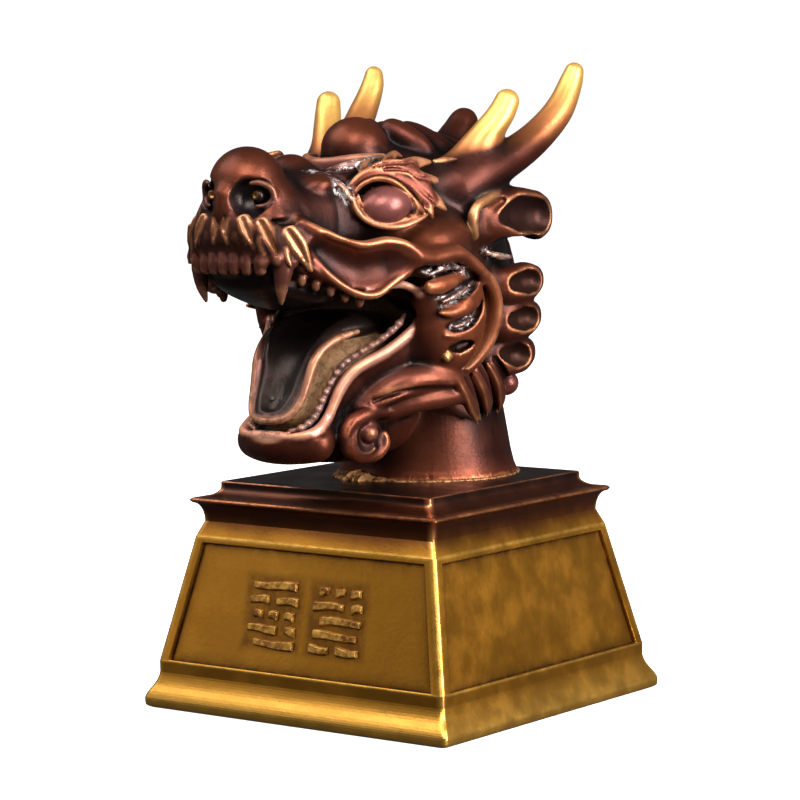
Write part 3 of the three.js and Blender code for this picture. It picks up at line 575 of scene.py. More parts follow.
def gape():
    """The open mouth, cut straight across, then hollowed above and below"""
    cut, (x, y, z) = window((CLAY_LOW[0], -79, 5), (41, -18, 66))
    mouth = outline_gap(GAPE, y, z).astype(np.float32)
    clay[cut] = -melt(-clay[cut], np.broadcast_to(mouth, clay[cut].shape), 1.2)
    press(roll([(0, -69, 54, 9.5, 4.5), (0, -55, 52.5, 13, 5.5), (0, -40, 50, 15, 6.5),
                (0, -18, 46, 14, 6)], steps=6), 2, "ochre")
    press(roll([(0, -62, 18, 8, 4.4), (0, -49.6, 24.6, 9, 5.6), (0, -42, 32.6, 12.4, 7.2),
                (0, -34.4, 40.4, 18.6, 8.4), (0, -18, 46, 16.5, 7.4)], steps=6), 1.5, "ochre")


def palate():
    """The dark fleshy roof of the mouth, which hangs below the jaw's edge"""
    add(roll([(0, -68.6, 57.6, 9, 3.2), (0, -60, 54.4, 11.4, 4.2), (0, -50, 51.8, 13.4, 4.4),
              (0, -40, 51, 12, 3.6)]), 2, "ink")


def tongue():
    """A trough with turned-up edges, which comes out of the throat and lies in the jaw"""
    bed = [(0, -50, 17, 6, 5), (0, -43.6, 24.4, 7.4, 6), (0, -36.4, 33, 11, 7), (0, -20, 38.6, 16, 7)]
    add(roll(bed), 2)
    blade = [(0, -55.8, 19.4, 4.6, 2.4), (0, -52.4, 24, 7, 2.6), (0, -49, 30, 8, 2.8),
             (0, -46.4, 36, 8.8, 3), (0, -42, 40.6, 10.8, 3.4), (0, -33, 42.4, 12.8, 4),
             (0, -18, 41, 13, 4.6)]
    add(roll(blade), 1.0, "ink")
    rim = [(-1, -57.2, 19.6, 0.9), (2.6, -56.9, 19.8, 1), (5.6, -55.4, 20.8, 1.05), (7.3, -53.6, 23.2, 1.1),
           (8.2, -51.8, 26.8, 1.1), (8.7, -50.4, 30.8, 1.15), (9.2, -49, 34.4, 1.2), (10, -46.2, 37.5, 1.2),
           (11.4, -42.2, 39.8, 1.1), (12.8, -38.6, 41, 0.9), (13.6, -35.4, 41.6, 0.6)]
    add(roll(rim, steps=4), 0.7, "tongue rim")
    press(roll([(0, -56.4, 22.4, 2.6, 1.6), (0, -53.6, 27, 4.6, 2.2), (0, -51, 33, 5.8, 2.4),
                (0, -47.4, 38.6, 6.6, 2.6), (0, -41, 44.4, 8.6, 3), (0, -32, 47, 9, 2.6)]), 1.4)
    press(roll([(1.4, -52.6, 24.4, 0.3), (0.8, -51, 28.6, 0.55), (1.2, -49.6, 32.6, 0.3)], steps=3), 0.5)
    press(roll([(-1.2, -51.4, 27.4, 0.3), (-1, -50, 31, 0.5), (-0.6, -48.6, 34.6, 0.3)], steps=3), 0.5)


def set_back(points, low, high, most):
    """Points of the lower lip, moved away from the dragon's front left between two heights"""
    away = np.array([-0.6, 0.795, -0.09])
    points = np.array(points, float)
    rise = np.clip((points[:, 2] - low[0]) / (low[1] - low[0]), 0, 1)
    fall = np.clip((high[1] - points[:, 2]) / (high[1] - high[0]), 0, 1)
    return points + most * (rise * fall)[:, None] * away


def gums_and_lips():
    """Beads of gum in a groove, and the flat pale lip outside them"""
    lip = set_back([[-2, -56.0, 15.9], [3, -55.8, 15.9], [6.8, -55.2, 15.8], [10.2, -53.8, 16.2],
                    [12.3, -51.4, 17.6], [13.6, -49.5, 20.4], [14.4, -48.2, 23.2], [15.2, -46.8, 26.7],
                    [16.3, -45, 29.9], [17.8, -42.8, 32.5], [19.4, -39.8, 34.3], [21.4, -36.3, 36],
                    [23.2, -32.9, 38.2], [24.8, -29.7, 40.7], [26.2, -26.9, 43.4], [27, -25.8, 46.4],
                    [27.2, -26.6, 49.4]], (16, 20.4), (43, 54), 3.6)
    lip = np.vstack([lip, [[26.6, -28.8, 52], [25.6, -32.6, 53.6], [25, -37, 53.8], [24.6, -41.6, 53.2],
                           [24, -46, 53]]])
    lip_sizes = [[1.2, 1.3]] * 3 + [[1.3, 1.5]] * 4 + [[1.4, 1.7]] * 7 + [[1.3, 1.6], [1.2, 1.5]]
    lip_sizes += [[1.1, 1.4]] + [[1.0, 1.2]] * 4 + [[0.5, 0.7]]
    add(roll(sized(lip, lip_sizes), up=(0.5, -0.8, 0.3)), 1.2, "rose lip")
    gum = set_back([[5.4, -55.2, 17.2], [8.7, -53.6, 17.9], [10.7, -52.0, 19.8], [11.7, -50.4, 22.6],
                    [12.3, -48.8, 25.8], [13, -47, 29], [14.3, -44.8, 32.6], [15.6, -43.4, 34.4],
                    [17.2, -41.3, 36.2], [19.2, -37.8, 38.2], [21, -33.6, 40.8], [22.2, -30, 43.4],
                    [22, -26.8, 46]], (17, 20.4), (43, 54), 3.2)
    press(roll(sized(gum, [1.5] * 11 + [1.3, 1.0]), steps=4), 0.5, "groove")
    add(roll(sized(gum, [0.6] * 2 + [0.85] * 10 + [0.5]), steps=4), 0.4, "rose")
    line, _ = smooth_route(sized(gum, [1] * len(gum)), steps=3)
    for i, bead in enumerate(line[3:-3:2]):
        add(egg(bead + [0.05, -0.25, 0.15], [1.1, 1.3, 1.0], [0, 0, 15 * (i % 3)]), 0.3, "rose")


def muzzle_teeth():
    """The upper gum's band with its teeth: seven incisors in front, a fang, and small ones behind"""
    add(roll([(-2, -71.2, 63.4, 2), (6, -70.8, 63.3, 2), (10.8, -68.6, 63, 2), (13.4, -64, 62.6, 2)],
             steps=3), 1.0)
    for i in range(4):
        side = 3.3 * i
        front = -72.7 + 0.021 * side * side
        add(roll([(side, front + 1, 63.8, 1.6, 1.5), (side, front, 60.8, 1.62, 1.4),
                  (side, front + 0.35, 57.6, 1.45, 1.1)], up=(0, -1, 0), square=0.7, steps=3), 0.2, "teeth")
    add(roll([(13, -65.4, 63.4, 3.1, 2.6), (13.3, -65.9, 58.5, 2.6, 2.3), (12.9, -66, 54, 1.6, 1.5),
              (12.2, -65.2, 49.9, 0.4, 0.4)], up=(0.3, -1, 0), steps=3), 0.8, "teeth")
    press(roll([(13.6, -69, 61, 0.3), (13.6, -69, 56, 0.5), (13, -68.4, 52.5, 0.3)], steps=3), 0.5)
    for y, x in ((-60.6, 15.3), (-57.2, 17), (-53.6, 18.9), (-50, 20.6), (-46.4, 22.4)):
        top = 60.2 - 0.42 * (y + 66)
        add(roll([(x, y, top, 1.6, 1.5), (x - 0.2, y - 0.2, top - 3.4, 0.8, 0.8)], up=(0, -1, 0), steps=3),
            0.5, "teeth")
    # the lumpy rim over the fang, and the edge that runs back from it
    for x, y, z, r in ((10.8, -70.4, 61.2, 1.7), (13.4, -68.2, 61.6, 1.9), (15.2, -64.4, 60.8, 1.6),
                       (16.2, -61.6, 59.2, 1.3)):
        add(egg([x, y, z], [r, r, r]), 0.6, "teeth")


def moustache():
    """The dark upper lip and the tufts that hang over it, each a leaf with a groove down its middle"""
    add(roll([(-2, -72.2, 67.6, 1.8, 4.6), (7, -71.6, 67.2, 1.8, 4.6), (12.6, -68.6, 66, 2, 4.6),
              (15.4, -62.6, 63.6, 2, 4.2)], steps=3), 1.2, "dark ochre")
    tufts = [([1.8, -72.9, 72.4], [1.4, -73.3, 69.2], [2.4, -73.1, 65.2], 1.7),
             ([5.7, -72.2, 72.6], [7.4, -72.3, 69], [9.4, -71.5, 64], 2.2),
             ([9.7, -70.4, 71.6], [12, -69.7, 67.2], [14.2, -67.2, 60.4], 2.5),
             ([15.2, -66.8, 69.4], [17.2, -64.6, 64.8], [18.6, -61, 58.2], 2.5)]
    for top, middle, tip, wide in tufts:
        top, middle, tip = (np.array(v) for v in (top, middle, tip))
        face = np.array([middle[0] / 22, -1.0, 0.05])
        face = face / np.linalg.norm(face)
        add(roll(sized([top, middle, tip], [[wide * 0.8, 1.15], [wide, 1.3], [0.6, 0.85]]), up=face), 0.35,
            "tufts")
        press(roll(sized([top + face * 1.3, middle + face * 1.5, middle * 0.3 + tip * 0.7 + face * 1.25],
                         [[wide * 0.35, 0.9], [wide * 0.45, 1.2], [0.25, 0.6]]), up=face), 0.25, "groove")
    for x, y, z in ((4.6, -72.8, 67.6), (10.6, -71.2, 66), (15.4, -66.8, 63)):
        add(roll([(x - 0.5, y, z + 2.6, 0.5), (x, y - 0.3, z, 0.75), (x + 1.2, y + 0.2, z - 3.4, 0.4)],
                 steps=4), 0.4, "tufts")
    add(roll([(-0.4, -73.6, 71.4, 0.5), (-0.3, -74, 68, 0.6), (0.4, -73.8, 65.4, 0.4)], steps=3), 0.5)


def nose():
    """The ball of the nose with its nostrils, the bridge behind it and the wrinkles beside the bridge"""
    add(egg([0, -63, 79.6], [9.5, 9.9, 9.7]), 3)
    add(egg([7.0, -62.9, 75.8], [5.4, 6.8, 5.6], [0, 0, -18]), 2.5)
    add(roll([(0, -71, 80, 3.2, 3), (0, -72.5, 75.4, 2.4, 2.2), (0, -72.7, 70.5, 2.2, 1.8)], steps=3), 2)
    # the nostril: a wide funnel beside the septum, a ring inside it and a small plug in the ring
    press(egg([7.2, -71.2, 76.8], [4.9, 4.8, 4.9], [0, 0, 32]), 1.0, "ink")
    press(egg([8.2, -68.4, 77.4], [3.9, 3.4, 4.0], [0, 0, 32]), 0.5, "ink")
    ring = [(6.4, -70.2, 80.2, 0.5), (8.6, -68.8, 80.4, 0.8), (10.6, -66.8, 79, 0.9), (11, -66, 76.6, 0.9),
            (9.6, -67.2, 74.8, 0.8), (7.2, -69, 74.6, 0.4)]
    add(roll(ring, steps=4), 0.4, "ring")
    add(egg([7.3, -67.6, 77.2], [1.7, 1.5, 1.6]), 0.4, "ink")
    press(egg([6.9, -69, 77.2], [0.9, 0.9, 0.8]), 0.3, "gilt dot")
    press(roll([(4, -73.4, 73.6, 0.5), (7.6, -71.6, 71.2, 1.1), (11.4, -69.4, 70.2, 1.3),
                (14.6, -65.2, 70.6, 1.1), (16, -60.4, 73.4, 0.6)], steps=4), 0.9, "dark")
    # the bridge: a knob, and wrinkles that run out to the eye
    add(egg([0, -45.6, 82.8], [5.2, 6, 4.2]), 2.5)
    add(roll([(6.4, -46.8, 82.4, 1), (10.6, -46.2, 81.2, 1.3), (13.6, -45.6, 80, 1.2),
              (16.4, -45.2, 78.4, 1.1), (18.6, -44.8, 75.4, 0.7)], steps=4), 0.9, "silver_and_glint")
    press(roll([(8.4, -44.4, 83.2, 0.6), (12.2, -43.8, 82, 0.9), (15.4, -43.6, 80.4, 0.9),
                (17.2, -43.6, 78.4, 0.5)], steps=4), 0.7, "dark")
    add(egg([11.4, -49.6, 79.6], [3.6, 4.8, 2.4], [14, 10, -30]), 1.6)


def crown():
    """The dome, the strands swept back from it, the knob at the back and the folds round the dome's foot"""
    add(egg([0, -18.6, 87.6], [8.9, 9.2, 8.5]), 3.0)
    add(egg([0, 3, 82], [17.4, 21, 9], [6, 0, 0]), 4)
    for strand, size in (([[0.4, -8.6, 92.4], [5, -7.6, 91.6], [9.8, -5.8, 88.8], [13.4, -3.4, 84.8]], 3.7),
                         ([[0.4, -2.2, 91.6], [5.6, -0.6, 90.6], [11, 2, 87.6], [15.4, 5, 83.8]], 3.8),
                         ([[0.4, 4.8, 89.6], [6, 7.2, 88.4], [11.8, 10.2, 85.6], [16, 13, 82.4]], 3.6),
                         ([[0.4, 12, 87.6], [5.6, 15, 86.6], [10.6, 18, 84.2], [14.6, 19.6, 81.4]], 3.4)):
        add(roll(sized(strand, [size, size, size * 0.95, size * 0.75]), steps=7), 1.7)
    add(roll([(0, 9, 83, 5.4), (0, 20, 85.8, 5), (0, 26.4, 90.6, 4.4), (0, 30.6, 94.4, 3.6),
              (0, 32.4, 90, 3)], steps=7), 2.5)
    # the folds round the dome's foot, and the dark gore between them
    add(roll([(-4, -32.4, 84, 1.3, 1.6), (2, -32.4, 84.2, 1.4, 1.7), (7.2, -30, 85, 1.3, 1.6),
              (9.8, -26.4, 85.6, 1, 1.3), (11.4, -20.4, 86, 0.5, 0.7)], steps=6), 1.6, "rose band")
    add(roll([(8.4, -42, 82.4, 0.6), (12, -38.6, 83.8, 1.1), (14.2, -33.6, 84.8, 1.3),
              (15.2, -28, 85.4, 1.1), (15.6, -22.6, 85.6, 0.4)], steps=6), 1.4, "silver_and_glint")
    press(roll([(10.6, -37.6, 84.8, 0.5), (11.6, -32.6, 85.6, 1.1), (12.4, -26.4, 86.4, 0.5)]), 0.8, "dark")
    press(roll([(-2, -29.4, 87.6, 0.6), (5, -27.8, 88, 0.8), (8.6, -23.6, 88, 0.8), (9.6, -17, 87.8, 0.5)]),
          0.8, "dark")
    press(roll([(15.8, -42.4, 80.8, 0.5), (15.8, -37.6, 82.8, 1), (16.4, -31.4, 84.4, 0.9),
                (16.6, -25.6, 85.2, 0.4)]), 0.7, "dark")


def eyes():
    """The socket and its plain ball, the thin rims of the lids, and the brow over them"""
    press(egg([23.8, -36.8, 74.4], [6.2, 8.4, 6.3], [0, 0, -25]), 1.0, "dark")
    add(egg([22.5, -35.8, 73.8], [5.7, 7.2, 5.1], [10, 0, -25]), 0.2, "eyeball")
    add(roll([(18.6, -44, 76.4, 0.6, 0.7), (19.4, -44, 73.6, 0.9, 1.2), (20.8, -42.8, 71.2, 1, 1.5),
              (22.6, -40.4, 69.6, 1, 1.6), (24.8, -37.2, 68.8, 1, 1.6), (27, -33.6, 69, 0.9, 1.4),
              (28.6, -30, 70.2, 0.7, 1), (29.4, -26.8, 71.4, 0.4, 0.5)], up=(0.7, -0.5, -0.5), steps=6),
        0.5, "rose edge")
    add(roll([(19.4, -43, 77, 0.4), (20.4, -42.8, 74.2, 0.5), (22, -41.2, 71.8, 0.55),
              (24.4, -38, 70.3, 0.55), (26.8, -34, 70.2, 0.55), (28.2, -30.8, 71.2, 0.5),
              (28.6, -29.2, 73, 0.4)], steps=6), 0.3, "copper edge")
    add(roll([(18.6, -43.6, 77, 0.4, 0.5), (20, -42, 79.2, 0.6, 0.8), (22.2, -39.4, 80.6, 0.7, 1),
              (24.4, -36.8, 80.3, 0.75, 1), (26.2, -34.4, 78.7, 0.75, 1), (27.6, -32, 76.2, 0.7, 0.9),
              (28.6, -29.6, 73.4, 0.6, 0.7), (29.2, -27.8, 71.6, 0.4, 0.5)], up=(0.8, -0.5, 0.3), steps=6),
        0.3, "copper edge")
    add(egg([27.8, -30.4, 73], [1.2, 2.0, 2.0], [0, 0, -25]), 0.8, "dark")
    # the flame-shaped brow: a flat pad whose back edge is torn into points
    pad = dict(up=(0.88, -0.4, 0.3), square=0.8, steps=6)
    add(roll([(17, -43.4, 78.4, 0.8, 0.6), (18.6, -41.2, 80.8, 1.2, 0.8), (20.6, -37.8, 82.6, 1.7, 1),
              (22.6, -33.4, 83, 2.6, 1.1), (24.4, -29.4, 81.8, 3.4, 1.1), (26.2, -26.6, 79, 3.2, 1.1),
              (27.6, -25, 75.6, 2.6, 1), (28.4, -24.2, 72.4, 1.2, 0.8)], **pad), 0.5, "flame")
    points_of_flame = [
        [(18.4, -40.6, 82.2, 0.7, 0.6), (16.8, -36.4, 84.2, 0.9, 0.6), (15.6, -32.6, 85.4, 0.4, 0.4)],
        [(21.4, -34, 84, 1.5, 0.8), (20, -29.6, 86, 1.3, 0.7), (19.2, -26.4, 86.6, 0.9, 0.6),
         (19.4, -24, 85.8, 0.3, 0.3)],
        [(23.6, -30, 83.2, 2.2, 0.9), (24, -24, 84.4, 1.7, 0.8), (24.6, -18.6, 84.4, 0.5, 0.5)],
        [(23.6, -16.6, 84.4, 0.5, 0.5), (24.4, -12.6, 84.8, 0.9, 0.6), (25.4, -8, 85, 0.3, 0.3)],
        [(26, -26, 80.6, 1.9, 0.9), (27, -22.2, 80, 1.3, 0.8), (27.4, -19.4, 79.6, 0.7, 0.6)],
        [(27.4, -24.8, 76.6, 2.4, 0.9), (28.6, -21.4, 74.2, 1.6, 0.8), (29.4, -18.8, 72, 0.4, 0.4)],
        [(28, -25.8, 74, 1.5, 0.8), (28.8, -24.8, 71.6, 1.1, 0.7), (29, -24.2, 70, 0.4, 0.4)]]
    for rows in points_of_flame:
        add(roll(rows, **pad), 0.5, "flame")
    for points in ([[19.6, -39.6, 82.8], [22, -35.2, 84.2], [24, -30.6, 84.4], [24.6, -25.6, 84.6]],
                   [[21.4, -37.2, 82.8], [24.4, -32, 82.8], [26.6, -28, 81], [27.6, -23.6, 80]],
                   [[24.2, -33.2, 81.6], [26.8, -29, 79.4], [28.4, -26, 76.4], [29.4, -22.6, 73.8]],
                   [[26, -31.6, 79.2], [28, -28, 76.2], [28.8, -25.8, 73]]):
        press(roll(sized(points, [0.3, 0.6, 0.6, 0.3]), tip=0.3), 0.3, "dark rose")
    for points in ([[20.4, -37.6, 83.6], [22.6, -33, 84.2], [24, -28.6, 83.8]],
                   [[22.8, -34.6, 82.6], [25.4, -30, 81.6], [27.2, -26.6, 79]]):
        add(roll(sized(points, [0.2, 0.5, 0.2])), 0.3, "flame")


def horns():
    """A short horn and a long one behind it, which bend up out of the head's side"""
    front = [(18, -12, 74, 5.8), (22, -3, 82.4, 4.8), (25.8, 2.4, 90, 4), (28.8, 6.8, 96.4, 3.6),
             (30.4, 9.4, 102.4, 3)]
    rear = [(20, -10.4, 74, 7.4), (25.4, -1.6, 79.6, 6.2), (28.6, 9, 84.2, 5), (31, 19.6, 90, 4.4),
            (32.9, 28, 97.2, 3.9), (33.4, 33.2, 104.7, 3.1), (34, 34.8, 109.3, 2.1)]
    add(roll(front, steps=9), 4)
    add(roll(rear, steps=9), 4)
    painted_shapes["front horn"] = roll(front, steps=3)
    painted_shapes["rear horn"] = roll(rear, steps=3)


def ear():
    """A leaf rolled into a cup: its broad front wall, its hollow, and the pit under it"""
    add(roll([(19, -8, 66.8, 5, 6), (27, -2, 69.2, 5, 7), (31.3, 8, 70, 5, 7.4),
              (31.9, 16.6, 69.4, 4.6, 6.8), (31.5, 22.6, 69.4, 2.8, 4.8)], square=0.9, steps=6), 2.5)
    press(roll([(35.4, -4.9, 67.4, 0.8, 0.5), (36.2, 1.2, 69.8, 3.4, 3.1), (36.9, 7.1, 70.3, 5.6, 5.2),
                (37.2, 13.6, 69.6, 5.6, 5.3), (37, 19.6, 69.5, 4.2, 3.9)], steps=6), 0.4, "ear hollow")
    press(roll([(32.4, -3.2, 64.9, 0.8, 1), (32.7, -5.2, 68, 1.2, 1.5), (32.8, -4.6, 70.9, 1.2, 1.5),
                (32.9, -1.8, 72.8, 1, 1.3), (33, 2.2, 74.2, 0.6, 0.7)]), 0.8, "ear wall")
    add(roll([(29.6, -6.3, 64.4, 0.8, 0.9), (30.6, -8.4, 67.1, 1.2, 1.4), (31, -9.2, 70.3, 1.3, 1.5),
              (31.2, -7.7, 72.6, 1.2, 1.4), (31.4, -4.1, 74.2, 1, 1.1), (31.4, 2.2, 76.1, 0.5, 0.6)]), 0.9,
        "ochre edge")
    press(roll([(31.4, 0.4, 62.4, 2.4, 1.9), (32.4, 6, 61.8, 4.4, 2.6), (32.4, 12.4, 62.2, 4.6, 2.6),
                (31, 17, 62.6, 3, 1.8)]), 1.0, "dark")
    add(roll([(29, -1.4, 60.6, 0.6), (30, 4.1, 59.2, 1), (29.8, 9.6, 58.8, 0.6)], steps=4), 1.4, "silver_and_glint")


def mane():
    """Three curled locks down the cheek's back edge, each a cup with a rolled rim, and a knob under them"""
    cups = [(52, 30.4, [[0, 3.6, -0.6], [0, 7, 0.1], [0.6, 12.8, 0.3], [0.6, 18.4, 0.2]]),
            (42.4, 29.6, [[0, 3.6, -0.4], [0, 7.4, -0.1], [0.6, 12, 0], [0.6, 17.6, 0]]),
            (32.6, 27.6, [[0.2, 3.0, 1.6], [0.2, 6, 0.9], [0.8, 11.2, 0.1], [0.6, 15.4, -0.1]])]
    for height, out, mouth in cups:
        add(roll([(19, 1, height - 1.4, 4, 5), (out - 2, 8, height - 0.8, 4.8, 5.4),
                  (out - 0.6, 15, height, 4.8, 5.2), (out - 1.6, 22.4, height + 0.4, 2.4, 3.4)], square=0.9,
                 steps=6), 2.2)
        hollow = np.array(mouth) + [out + 4.4, 0, height]
        press(roll(sized(hollow, [[0.9, 0.6], [3.6, 2.6], [5.0, 3.7], [3.8, 2.7]]), steps=6), 0.4, "cup")
    add(egg([23.2, 15.8, 24.6], [3.6, 3.6, 3.4]), 1.2, "rose lump")
def nape_locks():
    """Locks down the back of the head, plainer than the cheeks'"""
    def nape(side, height):
        """How far back the skull or the neck reaches there"""
        skull = 1 - (side / 28.6) ** 2 - ((height - 63) / 25.5) ** 2
        neck = 1 - (side / 28) ** 2 - ((height - 46) / 33) ** 2
        return max(-7 + 35 * math.sqrt(max(skull, 0)), 6 + 25.5 * math.sqrt(max(neck, 0)))

    for height, sides in ((72, (4.6, 13)), (60, (0, 9.2, 18)), (48, (4.6, 13.6)), (36, (0, 9.2))):
        for side in sides:
            out = np.array([side / 24, 1, 0.1])
            lock = np.array([[side * k, nape(side * k, height + rise) - 0.6, height + rise]
                             for k, rise in ((0.94, 7), (1, 1), (1.03, -5), (0.97, -11))])
            add(roll(sized(lock, [[3.0, 1.6], [4.4, 2.6], [3.6, 2.4], [0.7, 0.9]]), up=out, steps=6), 1.0)
            for split in (-1.5, 1.5):
                line = lock[:3] + [[split * 0.7, 1.8, 0], [split, 2.7, 0], [split * 0.5, 2.4, 0]]
                press(roll(sized(line, [0.4, 0.6, 0.4])), 0.6, "groove")


def beard_tufts():
    """Three tufts that sweep down and back from the jaw's corner, each with a bright lower edge"""
    tufts = [([[27.6, -13.4, 30.4], [27.9, -9.6, 25.6], [26.2, -3.4, 19.6], [22.6, 4.6, 15.4]], 3.1),
             ([[27.4, -5.4, 31], [27, -0.6, 26], [24.4, 5.6, 20.2], [21.4, 10.2, 16.8]], 3.0),
             ([[26.6, 2.6, 32], [26.6, 7, 26.6], [23.9, 12.2, 20.8], [20.8, 16.4, 17.4]], 2.7)]
    for points, wide in tufts:
        face, points = np.array([0.9, -0.1, 0.15]), np.array(points)
        add(roll(sized(points, [[wide, 1.7], [wide, 1.8], [wide * 0.75, 1.5], [0.3, 0.5]]), up=face,
                 steps=6), 0.7, "tuft faces")
        press(roll(sized(points[:3] + face * 2.2 + [0, 0.9, 0.4], [[0.7, 0.9], [1.1, 1.3], [0.5, 0.6]]),
                   up=face, steps=6), 0.5, "dark")
        add(roll(sized(points + face * 1.1 + [0, -wide * 0.62, -wide * 0.3],
                       [[0.5, 0.7], [0.6, 0.9], [0.5, 0.7], [0.2, 0.3]]), up=face, steps=6), 0.4,
            "copper edge")


def cheeks():
    """Two long ridges from the moustache to the cheekbone, a valley between, and the rim behind the jowl"""
    upper = [(14.6, -62.4, 71, 0.7), (16.8, -60, 69.6, 1), (19.4, -57, 67.5, 1.3), (22.6, -53.1, 65, 1.5),
             (25, -48.8, 63.9, 1.5), (27.4, -42, 64.8, 1.5), (29.2, -38, 64, 1.5), (31, -33.6, 61.4, 1.6),
             (32, -28.8, 60.3, 1.6), (32.8, -24, 60.8, 1.8), (33.4, -19, 61, 1.8), (33.8, -14.4, 58.8, 1.7),
             (34.4, -10.8, 56.4, 1.5)]
    add(roll(upper), 2.6, "ridge")
    press(roll([(19.4, -60.4, 64.6, 3.2), (23.4, -55.6, 60.8, 5), (27.4, -50.6, 57.8, 6.2),
                (31, -43.8, 58.4, 6), (33.6, -37, 60.4, 3.6)], steps=7), 2.0)
    lower = [(15.6, -61.6, 65.4, 0.6, 0.8), (17.4, -58, 60.6, 0.8, 1.3), (19.6, -55.6, 57, 0.9, 1.5),
             (22.2, -52, 53.6, 0.9, 1.6), (24.6, -48.2, 51.8, 0.9, 1.6), (26, -44, 51.8, 0.9, 1.6),
             (27.4, -40, 54.2, 0.8, 1.4), (28.8, -35.8, 57, 0.7, 1.1), (29.4, -33, 59.6, 0.4, 0.6)]
    add(roll(lower, up=(0.8, -0.5, 0.2)), 1.0, "rose ridge")
    rim = [(34.2, -11.4, 56.6, 1.5), (34.2, -7, 53.6, 1.7), (33.7, -3.2, 49, 1.7), (33, -2, 44.4, 1.7),
           (31.8, -2.4, 39.4, 1.7), (30.4, -4.4, 35, 1.6), (28.8, -7.6, 31.4, 1.5), (27.6, -12, 29.4, 1.2)]
    add(roll(rim), 1.6, "ridge")


def jowl():
    """One plain swelling with leaf-shaped cuts one above another, and the channel between it and the rim"""
    out = (0.95, -0.3, 0)
    add(roll([(28.4, -19.4, 57, 9, 4), (28.9, -17.6, 51, 10.6, 4.4), (28.7, -16, 44, 10.4, 4.2),
              (27.6, -15, 37.4, 8.6, 3.8), (26, -15.4, 31.4, 5.6, 3.2)], up=out), 4.5)
    press(roll([(33.8, -9.2, 54.8, 1, 1), (33.6, -6.9, 52.4, 2.3, 2.2), (33.2, -5.4, 48.6, 2.7, 2.6),
                (32.8, -4.9, 44.4, 2.9, 2.7), (32.2, -5.4, 40.2, 2.8, 2.6), (31.2, -7, 36.4, 2.4, 2.2),
                (30, -9.6, 33, 1.8, 1.7), (28.8, -12.6, 30.8, 0.9, 0.8)], up=out), 0.7, "channel")
    # the pocket under the cheekbone, which runs back to the rim, painted near black as patina with a
    # painted shadow, and the bright thread in it, whose pale colour is partly a painted highlight
    press(roll([(30.4, -34.4, 55.6, 1.8, 2), (32, -30.2, 57.4, 2.6, 2.4), (33.4, -24.6, 58.6, 1.9, 2.2),
                (34, -19, 58.4, 1.7, 2), (34.2, -14.4, 56.4, 1.5, 1.8), (34, -11.6, 54, 1, 1)], up=out),
          0.6, "dark")
    press(egg([30.2, -32.2, 54.4], [2.4, 2.8, 3.4], [30, 0, 0]), 1.0, "dark")
    add(roll([(31.4, -29.8, 56, 0.35, 0.6), (32.4, -25.6, 57.2, 0.5, 0.9), (32.8, -20.4, 57.6, 0.5, 0.9),
              (32.6, -15.4, 56, 0.3, 0.6)], up=out), 0.5, "silver_and_glint")
    # the leaf over the second cut, the cut, and the thread in it
    add(roll([(31.2, -30.6, 52.8, 1.6, 1.2), (32.2, -26, 53.2, 2.2, 1.7), (32.6, -21, 54.2, 1.8, 1.6),
              (32.6, -16.8, 55.4, 0.6, 0.8)], up=out), 1.4, "lobe")
    press(roll([(32.2, -26.4, 48, 0.6, 0.8), (33, -22.6, 49.4, 1.9, 1.9), (33.6, -18, 51.2, 2.3, 2.2),
                (33.8, -13.4, 53.2, 1.6, 1.6), (33.8, -11, 54.8, 0.6, 0.7)], up=out), 0.5, "dark")
    add(roll([(31.4, -24.4, 48.8, 0.5, 0.8), (32.2, -19.8, 50.2, 0.8, 1.1), (32.6, -14.6, 52.2, 0.5, 0.8)],
             up=out), 0.4, "silver_and_glint")
    # the next leaf, thick at its back end, and the cut under it with a raised lip below
    add(roll([(31.8, -25.6, 46.2, 0.5, 0.8), (32.2, -21.2, 46, 1.1, 1.2), (32.7, -16.8, 47, 1.9, 1.7),
              (33, -13.6, 49, 1.7, 1.4)], up=out), 0.8, "lobe")
    press(roll([(31.8, -22.6, 42, 0.6, 0.8), (32.6, -18.6, 42.4, 1.7, 1.8), (33, -14.2, 43.6, 1.9, 1.9),
                (33.4, -11, 46, 1.3, 1.4), (33.6, -9.8, 48.4, 0.5, 0.6)], up=out), 0.5, "dark")
    add(roll([(31.4, -19.4, 42.2, 0.4, 0.7), (31.8, -15.4, 42.8, 0.8, 1), (32, -12.2, 44.2, 0.5, 0.7)],
             up=out), 0.4, "silver_and_glint")
    add(roll([(30.6, -22, 40.2, 0.3, 0.5), (31.4, -17.6, 39.8, 0.7, 0.8), (31.9, -13, 40.8, 0.8, 0.9),
              (32.4, -10, 43.2, 0.6, 0.7), (32.6, -9, 46, 0.3, 0.4)], up=out), 0.6, "copper edge")
    # two small cuts lower down with a square chip of metal between them
    press(roll([(30.6, -19.4, 36.2, 0.7, 0.8), (31.4, -15.8, 37, 1.7, 1.7), (31.8, -11.6, 37.8, 0.9, 0.9)],
               up=out), 0.4, "dark")
    press(roll([(29.4, -24.4, 32.4, 0.5, 0.6), (30.2, -21.4, 32.4, 1.3, 1.3),
                (30.4, -18.6, 31.8, 0.7, 0.7)], up=out), 0.4, "dark")
    add(roll([(29.6, -20.6, 33.6, 1.1, 0.9), (29.8, -18.2, 35.4, 1.1, 0.9)], up=out, square=0.4, steps=2),
        0.3, "gilt dot")


